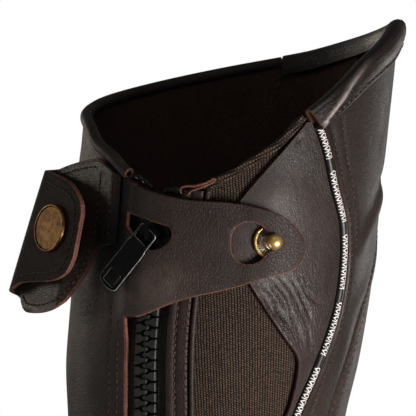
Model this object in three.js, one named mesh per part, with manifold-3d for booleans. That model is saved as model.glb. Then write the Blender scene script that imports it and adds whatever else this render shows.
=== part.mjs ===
// Riding gaiter (half chap) for a right leg, in brown leather, standing round as it is worn.
// Millimetres, +Z up. The zip runs down the back (+Y) and the high outer side faces -X.
// Places on the leg are an angle in degrees from the back line, positive towards the outer side,
// a height above the back of the hem, and a lift off the leg form.
import * as THREE from 'three';
import * as BufferGeometryUtils from 'three/addons/utils/BufferGeometryUtils.js';
import Module from 'manifold-3d';

const wasm = await Module();
wasm.setup();

const heldHeight = 330; // where the calf carries the gaiter, which is the part's origin
const seamGap = 0.3;
const degree = Math.PI / 180;

// ---- Leg form ----

// Sections of the leg inside the gaiter: sideways shift of the centre and half of the width.
const legForm = [
  { height: -15, shift: -9, halfWidth: 41 },
  { height: 0, shift: -9, halfWidth: 39 },
  { height: 30, shift: -9.5, halfWidth: 36.5 },
  { height: 60, shift: -9.5, halfWidth: 35.5 },
  { height: 100, shift: -9.5, halfWidth: 36 },
  { height: 150, shift: -9, halfWidth: 37.5 },
  { height: 200, shift: -8, halfWidth: 39.5 },
  { height: 250, shift: -6, halfWidth: 41.8 },
  { height: 290, shift: -3.8, halfWidth: 44.2 },
  { height: 310, shift: -2.2, halfWidth: 46.2 },
  { height: 330, shift: 0, halfWidth: 48.7 },
  { height: 354, shift: 3.1, halfWidth: 50.1 },
  { height: 387, shift: 6.2, halfWidth: 50.8 },
  { height: 413, shift: 9, halfWidth: 51.1 },
  { height: 452, shift: 13, halfWidth: 51.5 },
];
const legDepthRatio = 1.03;

// Top edge of the whole gaiter, round the leg.
const topLine = [
  { angle: -180, height: 441 },
  { angle: -150, height: 436 },
  { angle: -110, height: 428 },
  { angle: -80, height: 422 },
  { angle: -49, height: 415 },
  { angle: -36, height: 408 },
  { angle: -25, height: 403.5 },
  { angle: -15, height: 397.6 },
  { angle: 15, height: 392 },
  { angle: 20, height: 393 },
  { angle: 32, height: 400 },
  { angle: 44, height: 408 },
  { angle: 50, height: 414.6 },
  { angle: 54, height: 418 },
  { angle: 60, height: 422.2 },
  { angle: 68.6, height: 428.6 },
  { angle: 78.5, height: 436 },
  { angle: 94, height: 443.8 },
  { angle: 106, height: 449.5 },
  { angle: 118, height: 450.5 },
  { angle: 135, height: 449 },
  { angle: 160, height: 445 },
  { angle: 180, height: 441 },
];

// Seams that run down the leg.
const zipLine = [
  { height: 0, angle: 0 },
  { height: 310, angle: -0.4 },
  { height: 347, angle: -1.8 },
  { height: 392, angle: 0 },
];
const pipingLine = [
  { height: 0, angle: 46 },
  { height: 100, angle: 47 },
  { height: 200, angle: 50 },
  { height: 250, angle: 54 },
  { height: 285, angle: 58.6 },
  { height: 310, angle: 64.4 },
  { height: 328, angle: 71 },
  { height: 345, angle: 76.2 },
  { height: 362, angle: 77.4 },
  { height: 378, angle: 75 },
  { height: 391, angle: 68.4 },
  { height: 404, angle: 62.6 },
  { height: 414, angle: 56.8 },
];
const outerSeamLine = [
  { height: 0, angle: 80 },
  { height: 100, angle: 80 },
  { height: 200, angle: 82 },
  { height: 310, angle: 89.3 },
  { height: 330, angle: 94 },
  { height: 350, angle: 101.5 },
  { height: 366, angle: 114 },
  { height: 385, angle: 130 },
  { height: 410, angle: 145 },
  { height: 450, angle: 156 },
];
const frontSeamAngle = -170;

// Half widths of the zip's strips, from the zip line.
const panelEdgeArc = 8.3;
const stripEdgeArc = 8;
const stripOuterArc = 15.4;
const weltArc = 17;
const tapeOuterArc = 13;
const elasticEdgeArc = 10;

// Lifts of the inner face and thicknesses of the cloth.
const leather = { lift: 1, thickness: 2 };
const strip = { lift: 1.5, thickness: 1.6 };
const patch = { lift: 1.5, thickness: 1.5 };
const elastic = { lift: 0, thickness: 1.2 };
const tape = { lift: 0, thickness: 0.7 };
const strapThickness = 1.6;
const hemDrop = 12; // how much lower the hem is at the shin than at the heel
const hemBlendHeight = 80; // rows above this don't follow the hem's drop
const seamLift = 1.5; // lift at which widths round the leg are measured

// One column of a table at a place between its rows, on a smooth curve through them.
function read(table, key, place, column) {
  const last = table.length - 1;
  const found = table.findIndex((row) => row[key] > place);
  const upper = found < 0 ? last : Math.max(found, 1);
  const slope = (row) => {
    const after = table[Math.min(row + 1, last)];
    const before = table[Math.max(row - 1, 0)];
    return (after[column] - before[column]) / (after[key] - before[key]);
  };
  const low = table[upper - 1];
  const high = table[upper];
  const span = high[key] - low[key];
  const t = THREE.MathUtils.clamp((place - low[key]) / span, 0, 1);
  const bend = t * t * (3 - 2 * t);
  const startPull = t * (1 - t) * (1 - t) * span * slope(upper - 1);
  const endPull = t * t * (t - 1) * span * slope(upper);
  return low[column] * (1 - bend) + high[column] * bend + startPull + endPull;
}

const halfWidthAt = (height) => read(legForm, 'height', height, 'halfWidth');
const shiftAt = (height) => read(legForm, 'height', height, 'shift');
const topAt = (angle) => read(topLine, 'angle', angle, 'height');
const zipAt = (height) => read(zipLine, 'height', height, 'angle');
const pipingAt = (height) => read(pipingLine, 'height', height, 'angle');
const outerSeamAt = (height) => read(outerSeamLine, 'height', height, 'angle');
const hemAt = (angle) => (-hemDrop / 2) * (1 - Math.cos(angle * degree));

// Point on the leg form. The group's origin is the leg's axis at heldHeight.
function onLeg(angle, height, lift) {
  const halfWidth = halfWidthAt(height);
  const x = -shiftAt(height) - Math.sin(angle * degree) * (halfWidth + lift);
  const y = Math.cos(angle * degree) * (halfWidth * legDepthRatio + lift);
  return new THREE.Vector3(x, y, height - heldHeight);
}

// Degrees round the leg that a width in millimetres takes up.
const degreesOf = (width, height) => width / (halfWidthAt(height) + seamLift) / degree;
const besideZip = (height, arc) => zipAt(height) + degreesOf(arc, height);
const besidePiping = (height, arc) => pipingAt(height) + degreesOf(arc, height);

// Row height moved down at the bottom, where the hem drops towards the shin.
function withHem(height, angle) {
  const share = THREE.MathUtils.clamp(1 - height / hemBlendHeight, 0, 1);
  return height + hemAt(angle) * share;
}

// ---- Builders ----

function steps(count, from = 0, to = 1) {
  return Array.from({ length: count + 1 }, (_, step) => from + ((to - from) * step) / count);
}

function solidOf(triangles) {
  const positions = new Float32Array(triangles.flatMap((point) => [point.x, point.y, point.z]));
  const geometry = new THREE.BufferGeometry();
  geometry.setAttribute('position', new THREE.BufferAttribute(positions, 3));
  return BufferGeometryUtils.mergeVertices(geometry, 1e-4);
}

// Closed wall between the inner and outer points of a grid of columns, over the cells that are kept.
// Columns run round the leg, rows run up it.
function shell(grid, keeps = () => true) {
  const triangles = [];
  const quad = (a, b, c, d) => triangles.push(a, b, c, a, c, d);
  const inRange = (column, row) => column >= 0 && row >= 0
    && column < grid.length - 1 && row < grid[0].length - 1 && keeps(column, row);
  for (let column = 0; column < grid.length - 1; column += 1) {
    for (let row = 0; row < grid[0].length - 1; row += 1) {
      if (!inRange(column, row)) continue;
      const lowLeft = grid[column][row];
      const lowRight = grid[column + 1][row];
      const highRight = grid[column + 1][row + 1];
      const highLeft = grid[column][row + 1];
      quad(lowLeft.outer, lowRight.outer, highRight.outer, highLeft.outer);
      quad(lowLeft.inner, highLeft.inner, highRight.inner, lowRight.inner);
      const side = (from, to) => quad(to.outer, from.outer, from.inner, to.inner);
      if (!inRange(column, row - 1)) side(lowLeft, lowRight);
      if (!inRange(column + 1, row)) side(lowRight, highRight);
      if (!inRange(column, row + 1)) side(highRight, highLeft);
      if (!inRange(column - 1, row)) side(highLeft, lowLeft);
    }
  }
  return solidOf(triangles);
}

const wallPoint = (angle, height, lift, thickness) => ({
  inner: onLeg(angle, height, lift),
  outer: onLeg(angle, height, lift + thickness),
});

// Panel between two lines that run down the leg, with a row at each height.
function panelBetween(heights, columns, leftAt, rightAt, cloth) {
  return shell(steps(columns).map((across) => heights.map((height) => {
    const angleAt = (place) => THREE.MathUtils.lerp(leftAt(place), rightAt(place), across);
    const placed = withHem(height, angleAt(height));
    return wallPoint(angleAt(placed), placed, cloth.lift, cloth.thickness);
  })));
}

// Solid swept along a route on the leg. A section point is { up, lift }: up is square to the route.
function sweep(route, section) {
  const outline = section.map(({ up, lift }) => new THREE.Vector2(up, lift));
  if (THREE.ShapeUtils.isClockWise(outline)) outline.reverse();
  const rings = route.map((place, index) => {
    const before = route[Math.max(index - 1, 0)];
    const after = route[Math.min(index + 1, route.length - 1)];
    const arc = (after.angle - before.angle) / degreesOf(1, place.height);
    const rise = after.height - before.height;
    const size = (place.share ?? 1) / Math.hypot(arc, rise);
    return outline.map(({ x: up, y: lift }) => onLeg(
      place.angle + degreesOf(-up * rise * size, place.height),
      place.height + up * arc * size,
      lift,
    ));
  });
  const triangles = [];
  rings.slice(1).forEach((ring, index) => {
    outline.forEach((_, corner) => {
      const next = (corner + 1) % outline.length;
      const a = rings[index][corner];
      const b = rings[index][next];
      triangles.push(a, b, ring[next], a, ring[next], ring[corner]);
    });
  });
  const firstRing = rings[0];
  const lastRing = rings[rings.length - 1];
  THREE.ShapeUtils.triangulateShape(outline, []).forEach(([a, b, c]) => {
    triangles.push(firstRing[a], firstRing[c], firstRing[b]);
    triangles.push(lastRing[a], lastRing[b], lastRing[c]);
  });
  return solidOf(triangles);
}

const circlePoints = (radius, sides) => steps(sides).slice(0, -1).map((turn) => new THREE.Vector2(
  radius * Math.cos(turn * 2 * Math.PI),
  radius * Math.sin(turn * 2 * Math.PI),
));

// Round cord sewn or rolled along a route on the leg.
function roundAlong(route, cord) {
  const points = route.map(({ angle, height }) => onLeg(angle, height, cord.lift));
  const shape = new THREE.Shape(circlePoints(cord.radius, cord.sides));
  return new THREE.ExtrudeGeometry(shape, {
    steps: cord.steps,
    extrudePath: new THREE.CatmullRomCurve3(points),
  });
}

function toManifold(geometry) {
  const bare = geometry.clone();
  bare.deleteAttribute('normal');
  bare.deleteAttribute('uv');
  const merged = BufferGeometryUtils.mergeVertices(bare, 1e-4);
  const vertProperties = new Float32Array(merged.attributes.position.array);
  const triVerts = new Uint32Array(merged.index.array);
  return new wasm.Manifold(new wasm.Mesh({ numProp: 3, vertProperties, triVerts }));
}

function fromManifold(solid) {
  const mesh = solid.getMesh();
  const geometry = new THREE.BufferGeometry();
  geometry.setAttribute('position', new THREE.BufferAttribute(mesh.vertProperties, 3));
  geometry.setIndex(new THREE.BufferAttribute(mesh.triVerts, 1));
  return geometry;
}

function joined(...geometries) {
  const solids = geometries.map(toManifold);
  return fromManifold(solids.reduce((whole, solid) => whole.add(solid)));
}

function cutBy(geometry, ...cutters) {
  const whole = toManifold(geometry);
  return fromManifold(cutters.map(toManifold).reduce((left, cutter) => left.subtract(cutter), whole));
}

// Prism through the cloth at an opening. The outline's corners are angles and heights.
const punchDepth = { lift: -1, thickness: 10 };
function punch(outline) {
  const flat = outline.getPoints(6).slice(0, -1);
  if (THREE.ShapeUtils.isClockWise(flat)) flat.reverse();
  const pairs = flat.map((corner) => wallPoint(corner.x, corner.y, punchDepth.lift, punchDepth.thickness));
  const triangles = [];
  pairs.forEach((from, index) => {
    const to = pairs[(index + 1) % pairs.length];
    triangles.push(to.outer, from.outer, from.inner, to.outer, from.inner, to.inner);
  });
  THREE.ShapeUtils.triangulateShape(flat, []).forEach(([a, b, c]) => {
    triangles.push(pairs[a].outer, pairs[b].outer, pairs[c].outer);
    triangles.push(pairs[a].inner, pairs[c].inner, pairs[b].inner);
  });
  return solidOf(triangles);
}

const box = (width, height, depth, x, y, z) => (
  new THREE.BoxGeometry(width, height, depth).translate(x, y, z)
);

const finish = (color, roughness, metalness = 0) => ({ color, roughness, metalness });
const finishes = {
  leather: finish(0x3a302c, 0.5),
  elastic: finish(0x2d241e, 0.95),
  piping: finish(0x1b1a1b, 0.6),
  tape: finish(0x1d1e20, 0.9),
  zipPlastic: finish(0x26282a, 0.5),
  zipMetal: finish(0x101112, 0.2, 0.6),
  brass: finish(0xb98d45, 0.35, 1),
  agedBrass: finish(0x7d5a2c, 0.45, 1),
};

const gaiter = new THREE.Group();

function add(name, geometry, look) {
  const mesh = new THREE.Mesh(geometry, new THREE.MeshStandardMaterial(look));
  mesh.name = name;
  gaiter.add(mesh);
  return mesh;
}

// ---- Leather panels ----

const lowHeights = [0, 15, 30, 60, 100, 150, 200, 250, 285, 310];
const roll = { radius: 2.2, lift: 2.1, sides: 8, steps: 44 };
const rollEndAngle = -15.5;
const collarInset = 3.4; // from the top line down to a panel's edge inside the collar band

// Tongue of the inner panel that crosses the zip: its lower and upper edges and its lift.
const tongue = [
  { angle: -8, low: 346.3, high: 391, lift: 3.9 },
  { angle: -4, low: 346.4, high: 389.7, lift: 4.3 },
  { angle: 1, low: 348, high: 388.3, lift: 4.4 },
  { angle: 6, low: 350, high: 387.2, lift: 4.4 },
  { angle: 11, low: 351.8, high: 386.3, lift: 4 },
  { angle: 17, low: 353.4, high: 385.8, lift: 3.8 },
  { angle: 24, low: 354.9, high: 385.4, lift: 3.6 },
  { angle: 31, low: 356.5, high: 384.7, lift: 3.7 },
  { angle: 36, low: 358.1, high: 383.6, lift: 4.6 },
  { angle: 43, low: 360.2, high: 381.6, lift: 5.5 },
  { angle: 48, low: 361.4, high: 379, lift: 5.7 },
  { angle: 51.5, low: 363, high: 376.2, lift: 5.7 },
  { angle: 54, low: 365.4, high: 373.2, lift: 5.5 },
  { angle: 55, low: 368, high: 370.5, lift: 5.5 },
];
const tongueFoot = 346.3;

// The panel rises off the leg where it runs into the tongue.
const tongueRamp = { fromAngle: -18, toAngle: -8, fromHeight: 334, toHeight: 349 };
function innerPanelLift(angle, height) {
  const across = THREE.MathUtils.smoothstep(angle, tongueRamp.fromAngle, tongueRamp.toAngle);
  const up = THREE.MathUtils.smoothstep(height, tongueRamp.fromHeight, tongueRamp.toHeight);
  return leather.lift + (tongue[0].lift - leather.lift) * across * up;
}

// The panel ends just under the roll. Where the top line slopes, the roll takes up more height.
const rollClearance = 1;
function innerPanelTop(angle) {
  const reach = 3;
  const climb = (topAt(angle + reach) - topAt(angle - reach)) / (2 * reach);
  const slope = climb * degreesOf(1, topAt(angle));
  return topAt(angle) - roll.radius - (roll.radius + rollClearance) * Math.hypot(1, slope);
}

function innerPanel() {
  const footRows = [...lowHeights, 325, 336, tongueFoot];
  const upperRows = 6;
  const columns = 24;
  const panelColumns = steps(columns).map((share) => {
    const across = 1 - (1 - share) ** 1.25; // columns are closer together near the zip
    const angleAt = (height) => (
      THREE.MathUtils.lerp(frontSeamAngle, besideZip(height, -panelEdgeArc), across)
    );
    const top = innerPanelTop(angleAt(tongueFoot));
    const heights = [
      ...footRows.map((height) => withHem(height, angleAt(height))),
      ...steps(upperRows, tongueFoot, top).slice(1),
    ];
    return heights.map((height) => {
      const angle = angleAt(height);
      return wallPoint(angle, height, innerPanelLift(angle, height), leather.thickness);
    });
  });
  const tongueColumns = tongue.map(({ angle, low, high, lift }) => [
    ...footRows.slice(0, -1).map(() => wallPoint(angle, low, lift, strapThickness)),
    ...steps(upperRows, low, high).map((height) => wallPoint(angle, height, lift, strapThickness)),
  ]);
  const onPanel = (column, row) => column < columns || row >= footRows.length - 1;
  return shell([...panelColumns, ...tongueColumns], onPanel);
}

// Half-moon window over the slider, straight along its top.
function windowOutline() {
  const outline = new THREE.Shape();
  outline.moveTo(-12.6, 382.7);
  outline.lineTo(-12.6, 377.5);
  outline.lineTo(-3, 369.6);
  outline.bezierCurveTo(0, 367.6, 7.4, 370, 7.3, 375);
  outline.lineTo(6.2, 377.4);
  outline.lineTo(-12.6, 382.7);
  return outline;
}

// Drop-shaped buttonhole whose narrow end holds the stud's neck.
const stud = { angle: 42.8, height: 372, lift: 3.4 };
function buttonholeOutline() {
  const outline = new THREE.Shape();
  const tip = stud.angle + 3.6;
  outline.moveTo(28, 372.3);
  outline.bezierCurveTo(28, 381, 37.5, 380.6, 40.5, 376);
  outline.bezierCurveTo(42, 374, 44, 374.6, tip, 372.6);
  outline.lineTo(tip, 371.2);
  outline.bezierCurveTo(44, 369, 42, 369, 40.5, 366.6);
  outline.bezierCurveTo(37.5, 362.4, 28, 362.6, 28, 372.3);
  return outline;
}

add('inner_panel', cutBy(innerPanel(), punch(windowOutline()), punch(buttonholeOutline())), finishes.leather);

// The outer and front panels share the rows of their seam. Above the shoulder the rows fan out.
const shoulder = 413.5;
const headingHeight = 433.5; // where a column's angle picks its place on the top line
const upperHeights = [...lowHeights, 325, 338, 350, 362, 374, 386, 398, 407, shoulder];
const aroundTop = (angle) => topAt(angle > 180 ? angle - 360 : angle);

function highPanel(columns, leftAt, rightAt) {
  return shell(steps(columns).map((across) => {
    const angleAt = (height) => THREE.MathUtils.lerp(leftAt(height), rightAt(height), across);
    const top = aroundTop(angleAt(headingHeight)) - collarInset;
    return [...upperHeights, ...steps(4, shoulder, top).slice(1)].map((height) => {
      const angle = angleAt(height);
      return wallPoint(angle, withHem(height, angle), leather.lift, leather.thickness);
    });
  }));
}

const pipingClearArc = 2.1; // from the piping's middle to the leather on each side
add('outer_panel', highPanel(
  13,
  (height) => besidePiping(height, pipingClearArc),
  (height) => outerSeamAt(height) - degreesOf(seamGap / 2, height),
), finishes.leather);
add('front_panel', highPanel(
  12,
  (height) => outerSeamAt(height) + degreesOf(seamGap / 2, height),
  (height) => 360 + frontSeamAngle - degreesOf(seamGap, height),
), finishes.leather);

// Stud patch: a pointed reinforcement that narrows to a strip beside the piping.
const patchEdge = [
  { height: 309, angle: 59.4 },
  { height: 316, angle: 61.2 },
  { height: 326, angle: 61.7 },
  { height: 332, angle: 60.3 },
  { height: 339, angle: 53 },
  { height: 346, angle: 46.4 },
  { height: 353, angle: 40.4 },
  { height: 359, angle: 35.6 },
  { height: 366, angle: 29.5 },
  { height: 375, angle: 26.5 },
  { height: 385.5, angle: 30.3 },
  { height: 406, angle: 47.2 },
  { height: 411, angle: 51.6 },
];
const patchStripWidth = 4.2;
function patchLeftAt(height) {
  if (height < patchEdge[0].height) return besidePiping(height, -patchStripWidth);
  return read(patchEdge, 'height', height, 'angle');
}
const patchHeights = [...lowHeights, 318, 326, 332, 339, 346, 353, 359, 366, 375, 385.5, 396, 406, 411];
add('stud_patch', panelBetween(
  patchHeights,
  7,
  patchLeftAt,
  (height) => besidePiping(height, -pipingClearArc),
  patch,
), finishes.leather);

// ---- Elastic ----

const elasticTop = [
  { height: 390, angle: 12 },
  { height: 393, angle: 20 },
  { height: 400, angle: 32 },
  { height: 408, angle: 44 },
  { height: 412, angle: 48 },
];
function elasticLeftAt(height) {
  if (height < elasticTop[0].height) return besideZip(height, elasticEdgeArc);
  return read(elasticTop, 'height', height, 'angle');
}
const elasticHeights = [...lowHeights, 330, 350, 370, 389.9, 393, 400, 408, 412];
add('elastic_panel', panelBetween(
  elasticHeights,
  8,
  elasticLeftAt,
  (height) => besidePiping(height, -pipingClearArc - 0.5),
  elastic,
), finishes.elastic);

const bandWidth = 2.2;
const bandSection = [
  { up: -bandWidth, lift: 1.5 },
  { up: -bandWidth, lift: 2.3 },
  { up: 0, lift: 2.5 },
  { up: 0.4, lift: 1.9 },
  { up: 0.1, lift: 1.5 },
];
const bandRoute = [
  { angle: 19, height: 392.8 },
  { angle: 26, height: 396.2 },
  { angle: 32, height: 399.8 },
  { angle: 38, height: 403.6 },
  { angle: 43, height: 406.8 },
];
add('elastic_top_band', sweep(bandRoute, bandSection), finishes.elastic);

// ---- Piping, collar and roll ----

const pipingCord = { radius: 1.7, lift: 2.6, sides: 8, steps: 44 };
const pipingHeights = [
  0.8, 40, 80, 130, 180, 230, 270, 295, 312, 326, 338, 350, 362, 372, 382, 392, 402, 410,
];
const pipingRoute = pipingHeights.map((height) => ({ angle: pipingAt(height), height }));
add('piping', roundAlong(pipingRoute, pipingCord), finishes.piping);

// Leather folded over the high top edge, square to the edge, with the panel's edge inside it.
const collarWidth = 10;
const collarSection = [
  { up: -collarWidth, lift: 3.6 },
  { up: -collarWidth, lift: 4.8 },
  { up: -7.5, lift: 5.7 },
  { up: -4, lift: 5.8 },
  { up: -0.8, lift: 4.8 },
  { up: 0.3, lift: 2.4 },
  { up: -0.6, lift: -0.4 },
  { up: -4, lift: -1.2 },
  { up: -7, lift: -0.8 },
  { up: -7, lift: 0.4 },
  { up: -2, lift: 0.4 },
  { up: -2, lift: 3.6 },
];
const collarStart = 53.3;
const collarEnd = 360 + frontSeamAngle;
const collarAngles = [collarStart, 56, 60, 64, ...steps(17, 70, collarEnd)];
// The band narrows towards its cut end: the share of its full width at each angle.
const collarShares = [
  { angle: 51, share: 0.84 },
  { angle: 70, share: 0.82 },
  { angle: 77, share: 0.89 },
  { angle: 90, share: 0.95 },
  { angle: 104, share: 1 },
  { angle: 190, share: 1 },
];
const collarRoute = collarAngles.map((angle) => ({
  angle,
  height: aroundTop(angle),
  share: read(collarShares, 'angle', angle, 'share'),
}));
add('collar_band', sweep(collarRoute, collarSection), finishes.leather);

const rollStartAngle = frontSeamAngle + 0.6;
const rollAngles = [rollStartAngle, -150, -130, -110, -90, -70, -55, -45, -36, -28, -21, rollEndAngle];
const rollRoute = rollAngles.map((angle) => ({ angle, height: topAt(angle) - roll.radius }));
add('collar_roll', roundAlong(rollRoute, roll), finishes.leather);

// ---- Zip ----

const stripHeights = [...lowHeights, 330, 350, 370, 389.5];
add('zip_strip', panelBetween(
  stripHeights,
  2,
  (height) => besideZip(height, stripEdgeArc),
  (height) => besideZip(height, stripOuterArc),
  strip,
), finishes.leather);

const welt = { radius: 0.9, lift: 2.5, sides: 6, steps: 24 };
const weltHeights = [0.4, ...stripHeights.slice(1)];
const weltRoute = weltHeights.map((height) => ({ angle: besideZip(height, weltArc), height }));
add('zip_welt', roundAlong(weltRoute, welt), finishes.leather);

// Middle of each half of the teeth, from the zip line: closed below the slider, parted above it.
const chainPath = [
  { height: 0, arc: 2.2 },
  { height: 366, arc: 2.2 },
  { height: 370, arc: 2.4 },
  { height: 376, arc: 3.5 },
  { height: 391, arc: 6 },
];
const chainSide = 1.95;
const chainHeights = [7, 60, 110, 160, 210, 250, 285, 310, 330, 347, 360, 366, 370, 374, 379, 385, 390.5];
const chainArcAt = (height) => read(chainPath, 'height', height, 'arc');
const tapeHeights = [...lowHeights, 330, 347, 360, 366, 370, 374, 379, 385, 388];
const tapeInnerArcAt = (height) => chainArcAt(height) + chainSide + seamGap;
add('zip_tape_left', panelBetween(
  tapeHeights,
  1,
  (height) => besideZip(height, -tapeOuterArc),
  (height) => besideZip(height, -tapeInnerArcAt(height)),
  tape,
), finishes.tape);
add('zip_tape_right', panelBetween(
  tapeHeights,
  1,
  (height) => besideZip(height, tapeInnerArcAt(height)),
  (height) => besideZip(height, elasticEdgeArc - seamGap),
  tape,
), finishes.tape);

const chainSection = [
  { up: -chainSide, lift: -0.5 },
  { up: -chainSide, lift: 2.4 },
  { up: chainSide, lift: 2.4 },
  { up: chainSide, lift: -0.5 },
];
[['left', -1], ['right', 1]].forEach(([name, side]) => {
  const route = chainHeights.map((height) => ({ angle: besideZip(height, side * chainArcAt(height)), height }));
  add(`zip_chain_${name}`, sweep(route, chainSection), finishes.zipPlastic);
});

// Frame on the leg with X round it (towards the outer side), Y up it and Z out of it.
function standOn(angle, height, lift) {
  const place = new THREE.Object3D();
  const outward = new THREE.Vector3(-Math.sin(angle * degree), Math.cos(angle * degree), 0);
  const up = new THREE.Vector3(0, 0, 1);
  const round = new THREE.Vector3().crossVectors(up, outward);
  place.matrix.makeBasis(round, up, outward).setPosition(onLeg(angle, height, lift));
  return place.matrix;
}

// Slider: two plates joined by a wedge between the parted teeth, and a bridge for the pull tab.
const slider = { height: 376.3, width: 11.4, backWidth: 9.4, length: 14.6, plate: 0.8, face: 3.5, back: -1 };
const sliderWedge = { width: 1.6, length: 2.6, fromEnd: 1.6 };
const bridge = { width: 1.3, low: -3.15, high: 1.95, postRadius: 0.6, top: 9.9, bar: 1 };
function zipSlider() {
  const topPlate = box(slider.width, slider.length, slider.plate, 0, 0, slider.face - slider.plate / 2);
  const backPlate = box(slider.backWidth, slider.length, slider.plate, 0, 0, slider.back - slider.plate / 2);
  const wedgeDepth = slider.face - slider.back;
  const wedgeY = slider.length / 2 - sliderWedge.fromEnd;
  const wedgeZ = (slider.face + slider.back) / 2;
  const wedge = box(sliderWedge.width, sliderWedge.length, wedgeDepth, 0, wedgeY, wedgeZ);
  const sunk = 0.2; // how far the posts reach into the plate and stop below the bar's top
  const postLength = bridge.top - slider.face;
  const posts = [bridge.low, bridge.high].map((y) => (
    new THREE.CylinderGeometry(bridge.postRadius, bridge.postRadius, postLength, 10)
      .rotateX(Math.PI / 2)
      .translate(0, y, (bridge.top + slider.face) / 2 - sunk)
  ));
  const barLength = bridge.high - bridge.low + 2 * bridge.postRadius;
  const barMiddle = (bridge.low + bridge.high) / 2;
  const bar = box(bridge.width, barLength, bridge.bar, 0, barMiddle, bridge.top - bridge.bar / 2);
  return joined(topPlate, backPlate, wedge, ...posts, bar);
}
const sliderFrame = standOn(zipAt(slider.height), slider.height, 0);
add('zip_slider', zipSlider().applyMatrix4(sliderFrame), finishes.zipMetal);

// Pull tab: its cross bar lies inside the bridge and its plate hangs over the inner side.
const tab = { width: 8.4, length: 26.2, thickness: 1.6, neckWidth: 7.7, neck: 6.5, lean: 43, dip: 3.5 };
const tabShape = { top: 0.8, shoulder: 0.8, roundFrom: 0.6, roundTo: 2 };
const tabPivot = { y: -0.6, z: 7.45 };
const eye = { width: 5.9, top: -0.8, bottom: -4.7 };
const gripHole = { width: 4.6, low: -24.4, high: -19.4 };
function pullTab() {
  const outline = new THREE.Shape();
  const half = tab.width / 2;
  const neckHalf = tab.neckWidth / 2;
  const roundFrom = -tab.length + tabShape.roundFrom;
  outline.moveTo(-neckHalf, tabShape.top);
  outline.lineTo(-neckHalf, -tab.neck);
  outline.lineTo(-half, -tab.neck - tabShape.shoulder);
  outline.lineTo(-half, roundFrom);
  outline.quadraticCurveTo(0, -tab.length - tabShape.roundTo, half, roundFrom);
  outline.lineTo(half, -tab.neck - tabShape.shoulder);
  outline.lineTo(neckHalf, -tab.neck);
  outline.lineTo(neckHalf, tabShape.top);
  const rectangle = (width, low, high) => new THREE.Path([
    new THREE.Vector2(-width / 2, low),
    new THREE.Vector2(-width / 2, high),
    new THREE.Vector2(width / 2, high),
    new THREE.Vector2(width / 2, low),
  ]);
  outline.holes.push(rectangle(eye.width, eye.bottom, eye.top));
  outline.holes.push(rectangle(gripHole.width, gripHole.low, gripHole.high));
  const plate = new THREE.ExtrudeGeometry(outline, {
    depth: tab.thickness,
    bevelEnabled: false,
    curveSegments: 8,
  });
  return plate.translate(0, 0, -tab.thickness / 2);
}
const tabTurn = new THREE.Matrix4()
  .makeTranslation(0, tabPivot.y, tabPivot.z)
  .multiply(new THREE.Matrix4().makeRotationZ(-tab.lean * degree))
  .multiply(new THREE.Matrix4().makeRotationX(tab.dip * degree));
const tabFrame = sliderFrame.clone().multiply(tabTurn);
add('pull_tab', pullTab().applyMatrix4(tabFrame), finishes.zipMetal);

// Folded tape ends where the zip stops, and the stop at the hem.
const topLoops = [
  { name: 'left', arc: -6.6, height: 392.6, width: 4.2, tall: 3.6, deep: 2.2, lift: 1.9 },
  { name: 'right', arc: 7, height: 392.4, width: 7, tall: 2.6, deep: 2.2, lift: 2.2 },
];
topLoops.forEach(({ name, arc, height, width, tall, deep, lift }) => {
  const frame = standOn(besideZip(height, arc), height, lift);
  add(`zip_top_loop_${name}`, box(width, tall, deep, 0, 0, 0).applyMatrix4(frame), finishes.tape);
});
const stop = { height: 3.6, lift: 1.1, width: 8.2, tall: 5.4, deep: 3.6 };
const stopFrame = standOn(zipAt(stop.height), stop.height, stop.lift);
const stopBlock = box(stop.width, stop.tall, stop.deep, 0, 0, 0);
add('zip_bottom_stop', stopBlock.applyMatrix4(stopFrame), finishes.zipPlastic);

// ---- Ball stud ----

// Solid turned about its own axis and laid with that axis along Z.
function turned(profile, sides) {
  const points = profile.map(({ radius, rise }) => new THREE.Vector2(radius, rise));
  return new THREE.LatheGeometry(points, sides).rotateX(Math.PI / 2);
}

const studProfile = [
  { radius: 0, rise: 0 },
  { radius: 5.9, rise: 0 },
  { radius: 5.9, rise: 0.9 },
  { radius: 5.2, rise: 1.3 },
  { radius: 2.2, rise: 1.3 },
  { radius: 1.5, rise: 1.8 },
  { radius: 1.2, rise: 3.2 },
  { radius: 2.2, rise: 3.8 },
  { radius: 2.75, rise: 4.8 },
  { radius: 2.75, rise: 5.5 },
  { radius: 2.2, rise: 6.8 },
  { radius: 1.1, rise: 7.5 },
  { radius: 0, rise: 7.7 },
];
const studFrame = standOn(stud.angle, stud.height, stud.lift);
add('ball_stud', turned(studProfile, 20).applyMatrix4(studFrame), finishes.brass);

// ---- Snap tab ----

// Two-layer leather sewn beside the zip. It leaves the leg level, folds back on itself and snaps shut.
const snap = {
  rootAngle: -26,
  thickness: 1.8,
  lift: 4.2,
  foldRadius: 2.6,
  foldAtTop: 26,
  foldSlant: 0.19,
  topHeight: 397,
  leanHeight: 400,
  lean: 0.148,
  leanReach: 12,
};
const snapAcross = new THREE.Vector3(
  Math.cos(snap.rootAngle * degree),
  Math.sin(snap.rootAngle * degree),
  0,
);
const snapOutward = new THREE.Vector3(
  -Math.sin(snap.rootAngle * degree),
  Math.cos(snap.rootAngle * degree),
  0,
);
const foldReach = (height) => snap.foldAtTop + (snap.topHeight - height) * snap.foldSlant;

// Where the middle of the leather is: reach along the tab, out from the leg.
function snapPlace(reach, height, out) {
  const leanShare = out > snap.foldRadius ? 1 : THREE.MathUtils.clamp(reach / snap.leanReach, 0, 1);
  const lean = (snap.leanHeight - height) * snap.lean * leanShare;
  return onLeg(snap.rootAngle, height, snap.lift)
    .addScaledVector(snapAcross, reach)
    .addScaledVector(snapOutward, out + lean);
}

function snapPair(middle, inward) {
  return {
    outer: middle.clone().addScaledVector(inward, snap.thickness / 2),
    inner: middle.clone().addScaledVector(inward, -snap.thickness / 2),
  };
}

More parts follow.
